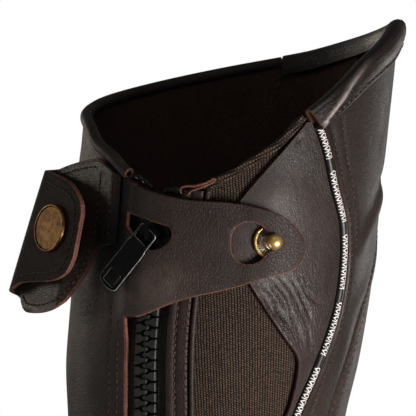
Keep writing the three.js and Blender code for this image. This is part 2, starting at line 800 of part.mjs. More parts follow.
// The part sewn flat beside the zip, tucked under the roll.
const snapRoot = [
  { angle: -18, low: 371.5, high: 394.6 },
  { angle: -22, low: 371, high: 396.9 },
];
// Share of the way to the fold, with the lower and upper edges there.
const snapBack = [
  { share: 0.02, low: 370.5, high: 399.1 },
  { share: 0.13, low: 361.6, high: 400.4 },
  { share: 0.24, low: 354.3, high: 400.8 },
  { share: 0.32, low: 349.8, high: 400.6 },
  { share: 0.54, low: 347.2, high: 399.9 },
  { share: 0.8, low: 347.3, high: 398.6 },
  { share: 0.92, low: 349.5, high: 397.8 },
  { share: 1, low: 353.3, high: 397.2 },
];
const snapFlap = [
  { share: 1, low: 355.6, high: 396.6 },
  { share: 0.9, low: 357.4, high: 396 },
  { share: 0.65, low: 358, high: 394.4 },
  { share: 0.45, low: 358.2, high: 392.7 },
  { share: 0.28, low: 358.9, high: 390.2 },
  { share: 0.16, low: 360.2, high: 387.6 },
  { share: 0.07, low: 362.6, high: 385.2 },
  { share: 0.02, low: 367, high: 381.5 },
];
const foldTurns = [30, 60, 90, 120, 150];

function snapTab() {
  const rows = 7;
  const heightsOf = ({ low, high }) => steps(rows, low, high);
  const sewn = snapRoot.map((row) => heightsOf(row).map((height) => ({
    outer: onLeg(row.angle, height, snap.lift + snap.thickness / 2),
    inner: onLeg(row.angle, height, snap.lift - snap.thickness / 2),
  })));
  const back = snapBack.map((row) => heightsOf(row).map((height) => (
    snapPair(snapPlace(row.share * foldReach(height), height, 0), snapOutward)
  )));
  const fold = foldTurns.map((turn) => {
    const share = turn / 180;
    const first = snapBack[snapBack.length - 1];
    const low = THREE.MathUtils.lerp(first.low, snapFlap[0].low, share);
    const high = THREE.MathUtils.lerp(first.high, snapFlap[0].high, share);
    return heightsOf({ low, high }).map((height) => {
      const reach = foldReach(height) + snap.foldRadius * Math.sin(turn * degree);
      const out = snap.foldRadius * (1 - Math.cos(turn * degree));
      const inward = snapOutward.clone().multiplyScalar(Math.cos(turn * degree))
        .addScaledVector(snapAcross, -Math.sin(turn * degree));
      return snapPair(snapPlace(reach, height, out), inward);
    });
  });
  const flapInward = snapOutward.clone().negate();
  const flap = snapFlap.map((row) => heightsOf(row).map((height) => (
    snapPair(snapPlace(row.share * foldReach(height), height, 2 * snap.foldRadius), flapInward)
  )));
  // Columns run away from the back line here, so they are turned round to keep the faces outward.
  return shell([...sewn, ...back, ...fold, ...flap].reverse());
}
add('snap_tab', snapTab(), finishes.leather);

// Snap: a domed cap on the flap and its socket between the layers.
const snapCentre = { reach: 16.2, height: 376.6 };
const capProfile = [
  { radius: 0, rise: 0 },
  { radius: 8.5, rise: 0 },
  { radius: 8.6, rise: 0.8 },
  { radius: 7.9, rise: 1.7 },
  { radius: 6.4, rise: 1.2 },
  { radius: 0, rise: 1.7 },
];
const socketRadius = 4.8;
const snapNormal = snapOutward.clone().addScaledVector(new THREE.Vector3(0, 0, 1), snap.lean).normalize();
function snapFrame(out) {
  const side = snapAcross.clone().negate();
  const up = new THREE.Vector3().crossVectors(snapNormal, side);
  const middle = snapPlace(snapCentre.reach, snapCentre.height, 2 * snap.foldRadius);
  const origin = middle.addScaledVector(snapNormal, out);
  return new THREE.Matrix4().makeBasis(side, up, snapNormal).setPosition(origin);
}
const capFrame = snapFrame(snap.thickness / 2 + seamGap);
add('snap_cap', turned(capProfile, 24).applyMatrix4(capFrame), finishes.agedBrass);
const socketLength = 2 * snap.foldRadius - snap.thickness - 2 * seamGap;
const socketBody = new THREE.CylinderGeometry(socketRadius, socketRadius, socketLength, 20);
const socketFrame = snapFrame(-snap.foldRadius);
add('snap_socket', socketBody.rotateX(Math.PI / 2).applyMatrix4(socketFrame), finishes.agedBrass);

gaiter.updateMatrixWorld(true);

export default gaiter;
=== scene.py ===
import math

import bpy
import numpy as np
from mathutils import Matrix, Vector, kdtree
from mathutils.geometry import delaunay_2d_cdt


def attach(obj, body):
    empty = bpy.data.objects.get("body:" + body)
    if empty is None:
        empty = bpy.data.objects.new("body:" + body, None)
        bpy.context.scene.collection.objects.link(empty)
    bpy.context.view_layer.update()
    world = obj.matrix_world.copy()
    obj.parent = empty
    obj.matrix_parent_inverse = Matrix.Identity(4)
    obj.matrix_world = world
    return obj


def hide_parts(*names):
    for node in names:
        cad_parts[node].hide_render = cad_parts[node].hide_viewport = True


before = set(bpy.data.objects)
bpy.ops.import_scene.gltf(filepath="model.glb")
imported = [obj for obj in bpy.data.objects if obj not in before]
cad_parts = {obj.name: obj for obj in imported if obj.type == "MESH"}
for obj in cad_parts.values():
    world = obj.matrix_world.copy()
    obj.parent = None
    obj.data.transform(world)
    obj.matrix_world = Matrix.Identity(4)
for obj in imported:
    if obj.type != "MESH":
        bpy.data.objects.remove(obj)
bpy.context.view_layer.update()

# Leather riding gaiter for a right leg. Lengths are millimetres until a point is made, then metres.
# A place on the leg is an angle in degrees from the back line, positive towards the outer side, and a
# height above the back of the hem. A lift is the distance off the leg form.

scene = bpy.context.scene
bodyName = "gaiter"
heldHeight = 330
mmPerDegree = 0.89
clothMiddle = 1.5  # how far the middle of the cloth stands off the leg form
toMetres, toMm = 0.001, 1000

legForm = {
    "height": [-15, 0, 30, 60, 100, 150, 200, 250, 290, 310, 330, 354, 387, 413, 452],
    "shift": [-9, -9, -9.5, -9.5, -9.5, -9, -8, -6, -3.8, -2.2, 0, 3.1, 6.2, 9, 13],
    "halfWidth": [41, 39, 36.5, 35.5, 36, 37.5, 39.5, 41.8, 44.2, 46.2, 48.7, 50.1, 50.8, 51.1, 51.5],
}
legDepthRatio = 1.03
hemDrop = 12
topLine = {
    "angle": [-180, -150, -110, -80, -49, -36, -25, -15, 15, 20, 32, 44, 50, 54, 60, 68.6, 78.5, 94, 106,
              118, 135, 160, 180],
    "height": [441, 436, 428, 422, 415, 408, 403.5, 397.6, 392, 393, 400, 408, 414.6, 418, 422.2, 428.6,
               436, 443.8, 449.5, 450.5, 449, 445, 441],
}
zipLine = {"height": [0, 310, 347, 392], "angle": [0, -0.4, -1.8, 0]}
pipingLine = {
    "height": [0, 100, 200, 250, 285, 310, 328, 345, 362, 378, 391, 404, 414],
    "angle": [46, 47, 50, 54, 58.6, 64.4, 71, 76.2, 77.4, 75, 68.4, 62.6, 56.8],
}
outerSeamLine = {
    "height": [0, 100, 200, 310, 330, 350, 366, 385, 410, 450],
    "angle": [80, 80, 82, 89.3, 94, 101.5, 114, 130, 145, 156],
}
frontSeamAngle = -170


def readTable(table, key, place, column):
    # Smooth reading between the rows of a table with named columns.
    keys, values = np.array(table[key], float), np.array(table[column], float)
    place = np.asarray(place, float)
    last = len(keys) - 1
    upper = np.clip(np.searchsorted(keys, place, side="right"), 1, last)
    after, before = np.minimum(np.arange(last + 1) + 1, last), np.maximum(np.arange(last + 1) - 1, 0)
    slope = (values[after] - values[before]) / (keys[after] - keys[before])
    span = keys[upper] - keys[upper - 1]
    t = np.clip((place - keys[upper - 1]) / span, 0, 1)
    bend = t * t * (3 - 2 * t)
    pull = t * (1 - t) ** 2 * span * slope[upper - 1] + t * t * (t - 1) * span * slope[upper]
    return values[upper - 1] * (1 - bend) + values[upper] * bend + pull


def halfWidthAt(height):
    return readTable(legForm, "height", height, "halfWidth")


def topAt(angle):
    angle = np.asarray(angle, float)
    return readTable(topLine, "angle", np.where(angle > 180, angle - 360, angle), "height")


def hemAt(angle):
    return -hemDrop / 2 * (1 - np.cos(np.radians(angle)))


def onLeg(angle, height, lift):
    halfWidth = halfWidthAt(height)
    turn = np.radians(angle)
    x = -readTable(legForm, "height", height, "shift") - np.sin(turn) * (halfWidth + lift)
    y = np.cos(turn) * (halfWidth * legDepthRatio + lift)
    return np.stack(np.broadcast_arrays(x, y, np.asarray(height) - heldHeight), -1) * toMetres


def degreesOf(arc, height):
    # The turn round the leg that an arc in millimetres takes.
    return np.degrees(arc / (halfWidthAt(height) + clothMiddle))


def besideZip(height, arc):
    return readTable(zipLine, "height", height, "angle") + degreesOf(arc, height)


def besidePiping(height, arc):
    return readTable(pipingLine, "height", height, "angle") + degreesOf(arc, height)


def outerSeamAt(height, arc=0.0):
    return readTable(outerSeamLine, "height", height, "angle") + degreesOf(arc, height)


def smoothStep(value, low, high):
    t = np.clip((np.asarray(value, float) - low) / (high - low), 0, 1)
    return t * t * (3 - 2 * t)


# Lines on the flat cloth: points are (angle, height) unless a name says flat, which is in millimetres.
def toFlat(places):
    return np.asarray(places, float) * (mmPerDegree, 1)


def runningLength(points):
    return np.r_[0, np.cumsum(np.linalg.norm(np.diff(points, axis=0), axis=1))]


def resample(points, pitch):
    points = np.asarray(points, float)
    steps = runningLength(points)
    count = max(int(round(steps[-1] / pitch)), 1)
    at = np.linspace(0, steps[-1], count + 1)
    return np.stack([np.interp(at, steps, column) for column in points.T], -1)


def smoothLine(points, pitch=0.8):
    # A smooth curve through places, with evenly spaced points.
    p = np.asarray(points, float)
    p = np.vstack([2 * p[0] - p[1], p, 2 * p[-1] - p[-2]])
    t = np.linspace(0, 1, 12, endpoint=False)[:, None]
    parts = [
        0.5 * (2 * b + (c - a) * t + (2 * a - 5 * b + 4 * c - d) * t ** 2 + (3 * b - a - 3 * c + d) * t ** 3)
        for a, b, c, d in zip(p[:-3], p[1:-2], p[2:-1], p[3:])
    ]
    return resample(np.vstack([*parts, p[-2:-1]]) * (mmPerDegree, 1), pitch) / (mmPerDegree, 1)


def bezier(start, first, second, end, count=12):
    t = np.linspace(0, 1, count)[:, None]
    start, first, second, end = (np.array(p, float) for p in (start, first, second, end))
    return start * (1 - t) ** 3 + 3 * first * t * (1 - t) ** 2 + 3 * second * t ** 2 * (1 - t) + end * t ** 3


fineFrom, lowPitch = 280, 3  # above this height lines have close points, below it they have this pitch


def heightsUp(low, high, pitch=0.8):
    breaks = [height for height in (low, fineFrom, high) if low <= height <= high]
    pieces = [
        np.linspace(a, b, max(int((b - a) / (pitch if b > fineFrom else lowPitch)), 1), endpoint=False)
        for a, b in zip(breaks[:-1], breaks[1:])
    ]
    return np.concatenate([*pieces, [high]])


def upLine(angleAt, low, high, pitch=0.8):
    heights = heightsUp(low, high, pitch)
    return np.stack([angleAt(heights), heights], -1)


def acrossLine(heightAt, start, end, pitch=0.8):
    angles = np.linspace(start, end, max(int(abs(end - start) * mmPerDegree / pitch), 2))
    return np.stack([angles, heightAt(angles)], -1)


def fromHem(angleAt, high, pitch=0.8):
    return upLine(angleAt, float(hemAt(angleAt(0.0))), high, pitch)


def hemLine(leftAt, rightAt, pitch=3):
    return acrossLine(hemAt, float(leftAt(0.0)), float(rightAt(0.0)), pitch)


def closedLoop(*lines, leastGap=0.12):
    points = np.vstack(lines)
    gap = np.linalg.norm(toFlat(points - np.roll(points, -1, axis=0)), axis=1)
    return points[gap > leastGap]


def nearLine(flat, line):
    # Distance from a line to each point and how far along the line it is, from 0 to 1.
    line = toFlat(line)
    best, along = np.full(len(flat), np.inf), np.zeros(len(flat))
    lengths = runningLength(line)
    for index, (a, b) in enumerate(zip(line[:-1], line[1:])):
        step = b - a
        t = np.clip(((flat - a) @ step) / max(step @ step, 1e-9), 0, 1)
        distance = np.linalg.norm(flat - a - t[:, None] * step, axis=1)
        closer = distance < best
        best = np.where(closer, distance, best)
        reached = lengths[index] + t * (lengths[index + 1] - lengths[index])
        along = np.where(closer, reached / lengths[-1], along)
    return best, along


def hump(distance, rise, width):
    # A soft swell along a line, or a trough where the rise is negative.
    return rise * np.exp(-(distance / width) ** 2)


def wornAround(flat, at, reach):
    # Full wear at a spot on the flat cloth, less farther off.
    return np.exp(-(((flat[:, 0] - at[0]) / reach[0]) ** 2 + ((flat[:, 1] - at[1]) / reach[1]) ** 2))


def creased(flat, creases):
    # Soft ridges and troughs. Each is (start, middle, end, width, rise), in places and millimetres.
    total = np.zeros(len(flat))
    for start, middle, end, width, rise in creases:
        line = bezier(start, middle, middle, end, 9)
        distance, along = nearLine(flat, line)
        total += hump(distance, rise, width) * np.sin(np.pi * np.clip(along, 0.02, 0.98)) ** 0.7
    return total


def grooved(flat, lines, width=0.55, depth=0.22):
    # The shallow trough that a row of stitches pulls into the leather.
    total = np.zeros(len(flat))
    for line in lines:
        total = np.minimum(total, hump(nearLine(flat, line)[0], -depth, width))
    return total


def waves(flat, size, seed):
    # A few crossed sine waves, for the slow unevenness of hand-cut leather.
    picks = np.random.default_rng(seed)
    total = np.zeros(len(flat))
    for _ in range(7):
        heading, phase, stretch = picks.uniform((0, 0, 0.6), (math.tau, math.tau, 1.6))
        across = flat @ (math.cos(heading), math.sin(heading))
        total += np.sin(across * math.tau / (size * stretch) + phase)
    return total / 4


# Cloth pieces
def turnedLoop(loop, way):
    # The loop running anticlockwise for 1 and clockwise for -1.
    x, y = loop.T
    area = np.sum(x * np.roll(y, -1) - np.roll(x, -1) * y)
    return loop if area * way > 0 else loop[::-1]


def insideLoops(points, loops):
    inside = np.zeros(len(points), bool)
    for loop in loops:
        for (x1, y1), (x2, y2) in zip(loop, np.roll(loop, -1, axis=0)):
            if y1 == y2:
                continue
            low, high = min(y1, y2), max(y1, y2)
            rows = np.flatnonzero((points[:, 1] >= low) & (points[:, 1] < high))
            crossing = points[rows, 0] < (x2 - x1) * (points[rows, 1] - y1) / (y2 - y1) + x1
            inside[rows[crossing]] ^= True
    return inside


coarseBelow = (270, 305)  # the cloth's points spread out between these heights, going down


def fillPoints(loops, pitch, coarse):
    # Points inside the loops, in staggered rows like a honeycomb.
    everything = np.vstack(loops)
    (left, bottom), (right, top) = everything.min(0), everything.max(0)
    tree = kdtree.KDTree(len(everything))
    for index, (x, y) in enumerate(everything):
        tree.insert((x, y, 0), index)
    tree.balance()
    rows, height, odd = [], bottom, False
    while height < top:
        gap = pitch + (coarse - pitch) * (1 - smoothStep(height, *coarseBelow))
        across = np.arange(left + gap * (0.5 if odd else 0), right, gap)
        rows.append(np.stack([across, np.full(len(across), height), np.full(len(across), gap)], -1))
        height, odd = height + gap * 0.87, not odd
    grid = np.vstack(rows)
    grid = grid[insideLoops(grid[:, :2], loops)]
    clear = np.array([tree.find((x, y, 0))[2] > gap * 0.5 for x, y, gap in grid])
    return grid[clear, :2]


def flatCut(outline, holes=(), pitch=1.0, coarse=4.0):
    # Points, triangles and rims of a piece cut flat. A rim is its point numbers and outward directions.
    loops = [turnedLoop(outline, 1), *[turnedLoop(hole, -1) for hole in holes]]
    points = np.vstack([*loops, fillPoints(loops, pitch, coarse)])
    edges, rims, first = [], [], 0
    for loop in loops:
        numbers = np.arange(first, first + len(loop))
        edges += list(zip(numbers.tolist(), np.roll(numbers, -1).tolist()))
        along = np.roll(loop, -1, axis=0) - np.roll(loop, 1, axis=0)
        outward = np.stack([along[:, 1], -along[:, 0]], -1)
        outward /= np.maximum(np.linalg.norm(outward, axis=1, keepdims=True), 1e-9)
        rims.append((numbers, outward))
        first += len(loop)
    found = delaunay_2d_cdt([Vector(p) for p in points], edges, [], 0, 1e-5)
    triangles = np.array([[found[3][corner][0] for corner in face] for face in found[2]])
    centres = points[triangles].mean(1)
    return points, triangles[insideLoops(centres, loops)], rims


def makePiece(name, points, faces, looks, faceLooks, sharp=38, flat=None, body=bodyName):
    mesh = bpy.data.meshes.new(name)
    mesh.from_pydata(points.tolist(), [], faces)
    for look in looks:
        mesh.materials.append(look)
    mesh.polygons.foreach_set("material_index", np.asarray(faceLooks, np.int32))
    mesh.shade_smooth()
    mesh.set_sharp_from_angle(angle=math.radians(sharp))
    if flat is not None:
        # Where each point lay on the flat cloth; a third value is a mask for wear, painted highlight and
        # wrinkles.
        laid = mesh.attributes.new("clothPlace", "FLOAT_VECTOR", "POINT")
        laid.data.foreach_set("vector", np.c_[flat, np.zeros(len(flat))][:, :3].astype(np.float32).ravel())
    mesh.validate()
    piece = bpy.data.objects.new(name, mesh)
    scene.collection.objects.link(piece)
    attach(piece, body)
    return piece


def evenly(value):
    # The same thickness or lift everywhere.
    return lambda flat: np.full(len(flat), value)


def standFor(node):
    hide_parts(node)


edgeLevels = {1: [(0.86, 1), (0.16, 1)], 2: [(0.9, 1), (0.58, 1), (0.5, -0.6), (0.42, 1), (0.1, 1)]}


def closeWall(name, outer, inner, faces, rims, looks, flat=None, plies=1, body=bodyName, sharp=38,
              edgeLookAt=None, sideLook=None):
    # A wall: its face, its back and softly rounded cut edges. looks are face, edge and back, then any others.
    # Each level of an edge is its share of the way from back to face and how far it swells out. Two plies
    # have a groove between them.
    count = len(outer)
    faces = np.asarray(faces)
    points, allFaces = [outer, inner], faces.tolist() + (faces[:, ::-1] + count).tolist()
    faceLooks = [0] * len(faces) + [2] * len(faces)
    flats = None if flat is None else [flat, flat]
    levels = edgeLevels[plies]
    first = 2 * count
    for numbers, push in rims:
        rings = [numbers]
        for share, swell in levels:
            points.append(outer[numbers] * share + inner[numbers] * (1 - share) + push * swell)
            rings.append(np.arange(first, first + len(numbers)))
            first += len(numbers)
            if flat is not None:
                flats.append(flat[numbers])
        rings.append(numbers + count)
        edgeLooks = [1] * len(numbers) if edgeLookAt is None else edgeLookAt(flat[numbers]).tolist()
        for band, (a, b) in enumerate(zip(rings[:-1], rings[1:])):
            allFaces += np.stack([a, b, np.roll(b, -1), np.roll(a, -1)], -1).tolist()
            faceLooks += [sideLook] * len(numbers) if band == 1 and sideLook is not None else edgeLooks
    flats = None if flat is None else np.vstack(flats)
    return makePiece(name, np.vstack(points), allFaces, looks, faceLooks, sharp, flats, body)


edgeBulge = 0.2


def cutCloth(name, outline, liftAt, thicknessAt, looks, holes=(), pitch=1.0, coarse=4.0, bulge=edgeBulge,
             edgeLookAt=None, wearAndLightAt=None):
    flat, triangles, rims = flatCut(toFlat(outline), [toFlat(hole) for hole in holes], pitch, coarse)

    def wall(spots):
        angle, height = spots[:, 0] / mmPerDegree, spots[:, 1]
        lift, thickness = liftAt(spots), thicknessAt(spots)
        return onLeg(angle, height, lift + thickness), onLeg(angle, height, lift)

    outer, inner = wall(flat)
    pushed = []
    for numbers, outward in rims:
        swell = bulge(flat[numbers])[:, None] if callable(bulge) else bulge
        far, near = wall(flat[numbers] + outward * swell)
        pushed.append((numbers, (far + near - outer[numbers] - inner[numbers]) / 2))
    flat = flat if wearAndLightAt is None else np.c_[flat, wearAndLightAt(flat)]
    return closeWall(name, outer, inner, triangles, pushed, looks, flat, edgeLookAt=edgeLookAt)


def platePiece(name, outline, holes, thickness, bevel, place, looks, edgeLookAt, body=bodyName):
    # Flat plate cut in its own plane, with bevelled edges all round.
    pitch = 0.7
    flat, triangles, rims = flatCut(outline, holes, pitch, pitch)
    full = [(numbers, outward * bevel) for numbers, outward in rims]
    inset = flat.copy()
    for numbers, outward in full:
        inset[numbers] -= outward
    turn, shift = np.array(place.to_3x3()).T, np.array(place.translation)
    outer = np.c_[inset, np.full(len(flat), thickness / 2)] @ turn + shift
    inner = np.c_[inset, np.full(len(flat), -thickness / 2)] @ turn + shift
    pushed = [(numbers, np.c_[outward, np.zeros(len(outward))] @ turn) for numbers, outward in full]
    return closeWall(name, outer, inner, triangles, pushed, looks, flat, body=body, sharp=28,
                     edgeLookAt=edgeLookAt, sideLook=0)


def gridWall(name, outer, inner, looks, flat=None, bulge=edgeBulge, plies=1, edgeLookAt=None):
    # The same wall from a grid, [along, across], whose rows run round it anticlockwise seen from outside.
    rows, columns = outer.shape[:2]
    numbers = np.arange(rows * columns).reshape(rows, columns)
    quads = np.stack([numbers[:-1, :-1], numbers[:-1, 1:], numbers[1:, 1:], numbers[1:, :-1]], -1)
    rim = np.r_[numbers[0, :-1], numbers[:-1, -1], numbers[-1, :0:-1], numbers[:0:-1, 0]]
    inward = np.r_[numbers[1, :-1], numbers[:-1, -2], numbers[-2, :0:-1], numbers[:0:-1, 1]]
    middle = (outer + inner).reshape(-1, 3) / 2
    push = middle[rim] - middle[inward]
    push *= bulge * toMetres / np.maximum(np.linalg.norm(push, axis=1, keepdims=True), 1e-9)
    flat = None if flat is None else flat.reshape(rows * columns, -1)
    rims = [(rim, push)]
    outer, inner = outer.reshape(-1, 3), inner.reshape(-1, 3)
    return closeWall(name, outer, inner, quads.reshape(-1, 4), rims, looks, flat, plies,
                     edgeLookAt=edgeLookAt)


def squareTo(route):
    # For a route of (angle, height), the unit step along it in millimetres, (round the leg, up it).
    step = np.gradient(route, axis=0)
    step[:, 0] *= np.radians(halfWidthAt(route[:, 1]) + clothMiddle)
    return step / np.linalg.norm(step, axis=1, keepdims=True)


def sweptPoints(route, section):
    # section is (up, lift) points square to the route, one set for all of it or one for each place.
    along = squareTo(route)
    up, lift = section[..., 0], section[..., 1]
    angle = route[:, :1] + degreesOf(-up * along[:, 1:], route[:, 1:])
    return onLeg(angle, route[:, 1:] + up * along[:, :1], lift + np.zeros_like(angle))


def ringQuads(rings, sides):
    # Point numbers of stacked rings, [ring, place round it], and the quads between them.
    numbers = np.arange(rings * sides).reshape(rings, sides)
    after = np.roll(numbers, -1, axis=1)
    quads = np.stack([numbers[:-1], after[:-1], after[1:], numbers[1:]], -1).reshape(-1, 4)
    return numbers, quads


def roundCord(route, lift, radius, sides=14, swell=None):
    # Round cord on the leg along (angle, height) places: its centre, its rings, their quads and numbers.
    centre = onLeg(route[:, 0], route[:, 1], lift)
    along = np.gradient(centre, axis=0)
    along /= np.linalg.norm(along, axis=1, keepdims=True)
    out = onLeg(route[:, 0], route[:, 1], lift + 1) - centre
    side = np.cross(out, along)
    side /= np.linalg.norm(side, axis=1, keepdims=True)
    out = np.cross(along, side)
    turn = np.linspace(0, math.tau, sides, endpoint=False)
    size = radius if swell is None else radius * swell[:, None, None]
    spoke = side[:, None] * np.cos(turn)[None, :, None] + out[:, None] * np.sin(turn)[None, :, None]
    outer = centre[:, None] + spoke * size * toMetres
    numbers, quads = ringQuads(len(route), sides)
    return centre, outer, quads, numbers


print("cloth builder ready")


# Shader sums
class Wire:
    def __init__(self, paint, socket):
        self.paint, self.socket = paint, socket

    def math(self, operation, first, second=0.0):
        return self.paint.node("Math", {"operation": operation}, {0: first, 1: second})

    def __add__(self, other):
        return self.math("ADD", self, other)

    def __sub__(self, other):
        return self.math("SUBTRACT", self, other)

    def __rsub__(self, other):
        return self.math("SUBTRACT", other, self)

    def __mul__(self, other):
        return self.math("MULTIPLY", self, other)

    def __truediv__(self, other):
        return self.math("DIVIDE", self, other)

    def __mod__(self, other):
        return self.math("FLOORED_MODULO", self, other)

    def __abs__(self):
        return self.math("ABSOLUTE", self)

    def __lt__(self, other):
        return self.math("LESS_THAN", self, other)

    __radd__, __rmul__ = __add__, __mul__


class Paint:
    def __init__(self, name, **uniform):
        self.material = bpy.data.materials.new(name)
        self.material.use_nodes = True
        self.tree = self.material.node_tree
        self.shader = self.tree.nodes["Principled BSDF"]
        for label, value in uniform.items():
            self.shader.inputs[label.replace("_", " ")].default_value = value

    def node(self, kind, settings=None, values=None, output=0):
        made = self.tree.nodes.new("ShaderNode" + kind)
        for label, value in (settings or {}).items():
            if label == "stops":
                ramp = made.color_ramp
                while len(ramp.elements) < len(value):
                    ramp.elements.new(0.5)
                for element, (place, colour) in zip(ramp.elements, value):
                    element.position, element.color = place, colour
            else:
                setattr(made, label, value)
        for label, value in (values or {}).items():
            self.feed(made.inputs[label], value)
        return Wire(self, made.outputs[output])

    def feed(self, socket, value):
        if isinstance(value, Wire):
            self.tree.links.new(value.socket, socket)
        else:
            socket.default_value = value

    def set(self, label, value):
        self.feed(self.shader.inputs[label], value)

    def mix(self, share, first, second):
        return self.node("Mix", {"data_type": "RGBA"}, {0: share, 6: first, 7: second}, 2)

    def spot(self):
        return self.node("TexCoord", output="Object")

    def clothPlace(self, *axes):
        # Where a point lay on the flat cloth: 0 across it, 1 up it, 2 a mask for wear, painted highlight and
        # wrinkles.
        place = self.node("Attribute", {"attribute_name": "clothPlace"}, None, "Vector")
        return [self.node("SeparateXYZ", None, {0: place}, axis) for axis in axes]

    def noise(self, scale, detail=2.0, roughness=0.5, place=None, distortion=0.0):
        values = {"Vector": place or self.spot(), "Scale": scale, "Detail": detail, "Roughness": roughness,
                  "Distortion": distortion}
        return self.node("TexNoise", None, values)

    def cells(self, scale, feature="F1"):
        values = {"Vector": self.spot(), "Scale": scale}
        return self.node("TexVoronoi", {"feature": feature}, values, "Distance")

    def range(self, value, low, high, toLow=0.0, toHigh=1.0):
        return self.node("MapRange", {"interpolation_type": "SMOOTHSTEP"},
                         {0: value, 1: low, 2: high, 3: toLow, 4: toHigh})

    def bump(self, height, distance, strength=1.0):
        self.set("Normal", self.node("Bump", None, {
            "Height": height, "Distance": distance, "Strength": strength}))


def rgb(red, green, blue):
    # Linear colour from an sRGB one, 0 to 255.
    values = (red, green, blue)
    return tuple(((c / 255 + 0.055) / 1.055) ** 2.4 if c > 10 else c / 255 / 12.92 for c in values) + (1,)


leatherLook = {
    "colour": rgb(50, 38, 34),
    "dark": rgb(32, 23, 20),
    "worn": rgb(67, 54, 49),
    "grainSize": 1.1,
    "grainDepth": 0.07,
    "roughness": 0.55,
    "coat": 0.03,
}


def leatherPaint(name, look, wrinkle=1.0, paintedShadow=None, wearAndHighlight=None, wrinkled=()):
    paint = Paint(name, IOR=1.42, Coat_Weight=look["coat"], Coat_Roughness=0.3)
    grain = paint.cells(toMm / look["grainSize"], "DISTANCE_TO_EDGE")
    creasesOfGrain = paint.range(grain, 0.0, 0.16)
    fine = paint.noise(2600, 3, 0.6)
    broad = paint.noise(28, 3, 0.55)
    patches = paint.noise(210, 4, 0.62, distortion=0.6)
    pores = paint.range(paint.cells(620), 0.05, 0.17)
    tone = paint.mix(paint.range(broad, 0.34, 0.68), look["dark"], look["colour"])
    tone = paint.mix(paint.range(patches, 0.45, 0.78) * 0.42, tone, look["worn"])
    tone = paint.mix((1 - creasesOfGrain) * 0.45, tone, look["dark"])
    tone = paint.mix((1 - pores) * 0.6, tone, look["dark"])
    roughness = look["roughness"] + (patches - 0.5) * 0.28 + (1 - creasesOfGrain) * 0.1
    if paintedShadow:
        # Painted shadow of the tab: the leather it shades is painted near black, within four limits with soft
        # borders.
        across, up = paint.clothPlace(0, 1)
        share = paint.range(across, *paintedShadow["left"]) * (1 - paint.range(across, *paintedShadow["right"]))
        share = share * paint.range(up, *paintedShadow["low"]) * (1 - paint.range(up, *paintedShadow["high"])) * paintedShadow["share"]
        tone = paint.mix(share, tone, rgb(5, 4, 4))
        roughness = roughness + share * 0.3
    height = creasesOfGrain * look["grainDepth"] + fine * 0.02 + pores * 0.05 + patches * 0.12 * wrinkle
    if wearAndHighlight:
        # Leather painted pale and smooth along the mask: wear, and a painted highlight on the collar's crease
        # and the strap's lower half.
        rubbedAndLit = paint.clothPlace(2)[0] * paint.range(patches, 0.25, 0.6, 0.45, 1.0)
        tone = paint.mix(rubbedAndLit, tone, wearAndHighlight)
        roughness = roughness - rubbedAndLit * 0.16
    if wrinkled:
        # Fine crossed wrinkles within the mask, longer along each heading than across it. Between the ridges
        # the leather is painted darker: painted shade in the wrinkles.
        across, up, share = paint.clothPlace(0, 1, 2)
        folds = 0.0
        for heading, width in wrinkled:
            east, north = math.cos(math.radians(heading)), math.sin(math.radians(heading))
            along = (across * east + up * north) / (width * 5)
            beside = (up * east - across * north) / width
            folds = paint.noise(1.0, 2, 0.5, paint.node("CombineXYZ", None, {0: along, 1: beside})) + folds
        ridges = paint.range(folds / len(wrinkled), 0.36, 0.62)
        tone = paint.mix(share * (1 - ridges) * 0.7, tone, look["dark"])
        roughness = roughness - share * ridges * 0.14
        height = height + share * ridges * 0.42
    paint.set("Base Color", tone)
    paint.set("Roughness", roughness)
    paint.bump(height, 0.001, 0.85)
    return paint.material


def rawEdgePaint(name, colour, dark):
    # Cut leather: matt, fibrous, with darker smears of edge dye.
    paint = Paint(name, Roughness=0.85, IOR=1.4)
    fibres = paint.noise(1500, 4, 0.7)
    broad = paint.noise(240, 3, 0.6)
    tone = paint.mix(paint.range(fibres, 0.35, 0.7), dark, colour)
    paint.set("Base Color", paint.mix(paint.range(broad, 0.35, 0.7) * 0.5, tone, dark))
    paint.bump(fibres + broad * 0.6, 0.00035, 0.8)
    return paint.material


def fleshPaint(name, colour, dark):
    paint = Paint(name, Roughness=0.92, IOR=1.35)
    nap = paint.noise(1300, 5, 0.72)
    broad = paint.noise(60, 3, 0.6)
    tone = paint.mix(paint.range(nap, 0.3, 0.72), dark, colour)
    paint.set("Base Color", paint.mix(paint.range(broad, 0.3, 0.75) * 0.45, tone, dark))
    paint.bump(nap, 0.0003, 0.7)
    return paint.material


elasticLook = {"rib": 1.0, "thread": 0.84, "lean": 0.15, "gap": rgb(12, 8, 6), "yarn": rgb(56, 43, 36),
               "fleck": rgb(112, 90, 74)}


def wovenPaint(name, look):
    # Elastic rib weave: cross threads step half a pitch from each rib to the next.
    paint = Paint(name, Roughness=0.95, IOR=1.4)
    across, up = paint.clothPlace(0, 1)
    jitter = paint.noise(240, 2, 0.5) - 0.5
    ribAt = (across + up * look["lean"] + jitter * 0.3) / look["rib"]
    rib = paint.node("Math", {"operation": "PINGPONG"}, {0: ribAt, 1: 0.5}) * 2
    step = paint.node("Math", {"operation": "FLOOR"}, {0: ribAt})
    threadAt = (up - across * look["lean"] + jitter * 0.2) / look["thread"] + (step % 2.0) * 0.5
    thread = paint.node("Math", {"operation": "PINGPONG"}, {0: threadAt, 1: 0.5}) * 2
    body = paint.range(rib, 0.12, 0.6)
    raised = body * paint.range(thread, 0.2, 0.75)
    tone = paint.mix(body * 0.42 + raised * 0.58, look["gap"], look["yarn"])
    flecks = raised * paint.range(paint.noise(1100, 2), 0.3, 0.6)
    paint.set("Base Color", paint.mix(flecks * 0.75, tone, look["fleck"]))
    paint.bump(body * 0.6 + raised * 0.6, 0.00028, 0.9)
    return paint.material


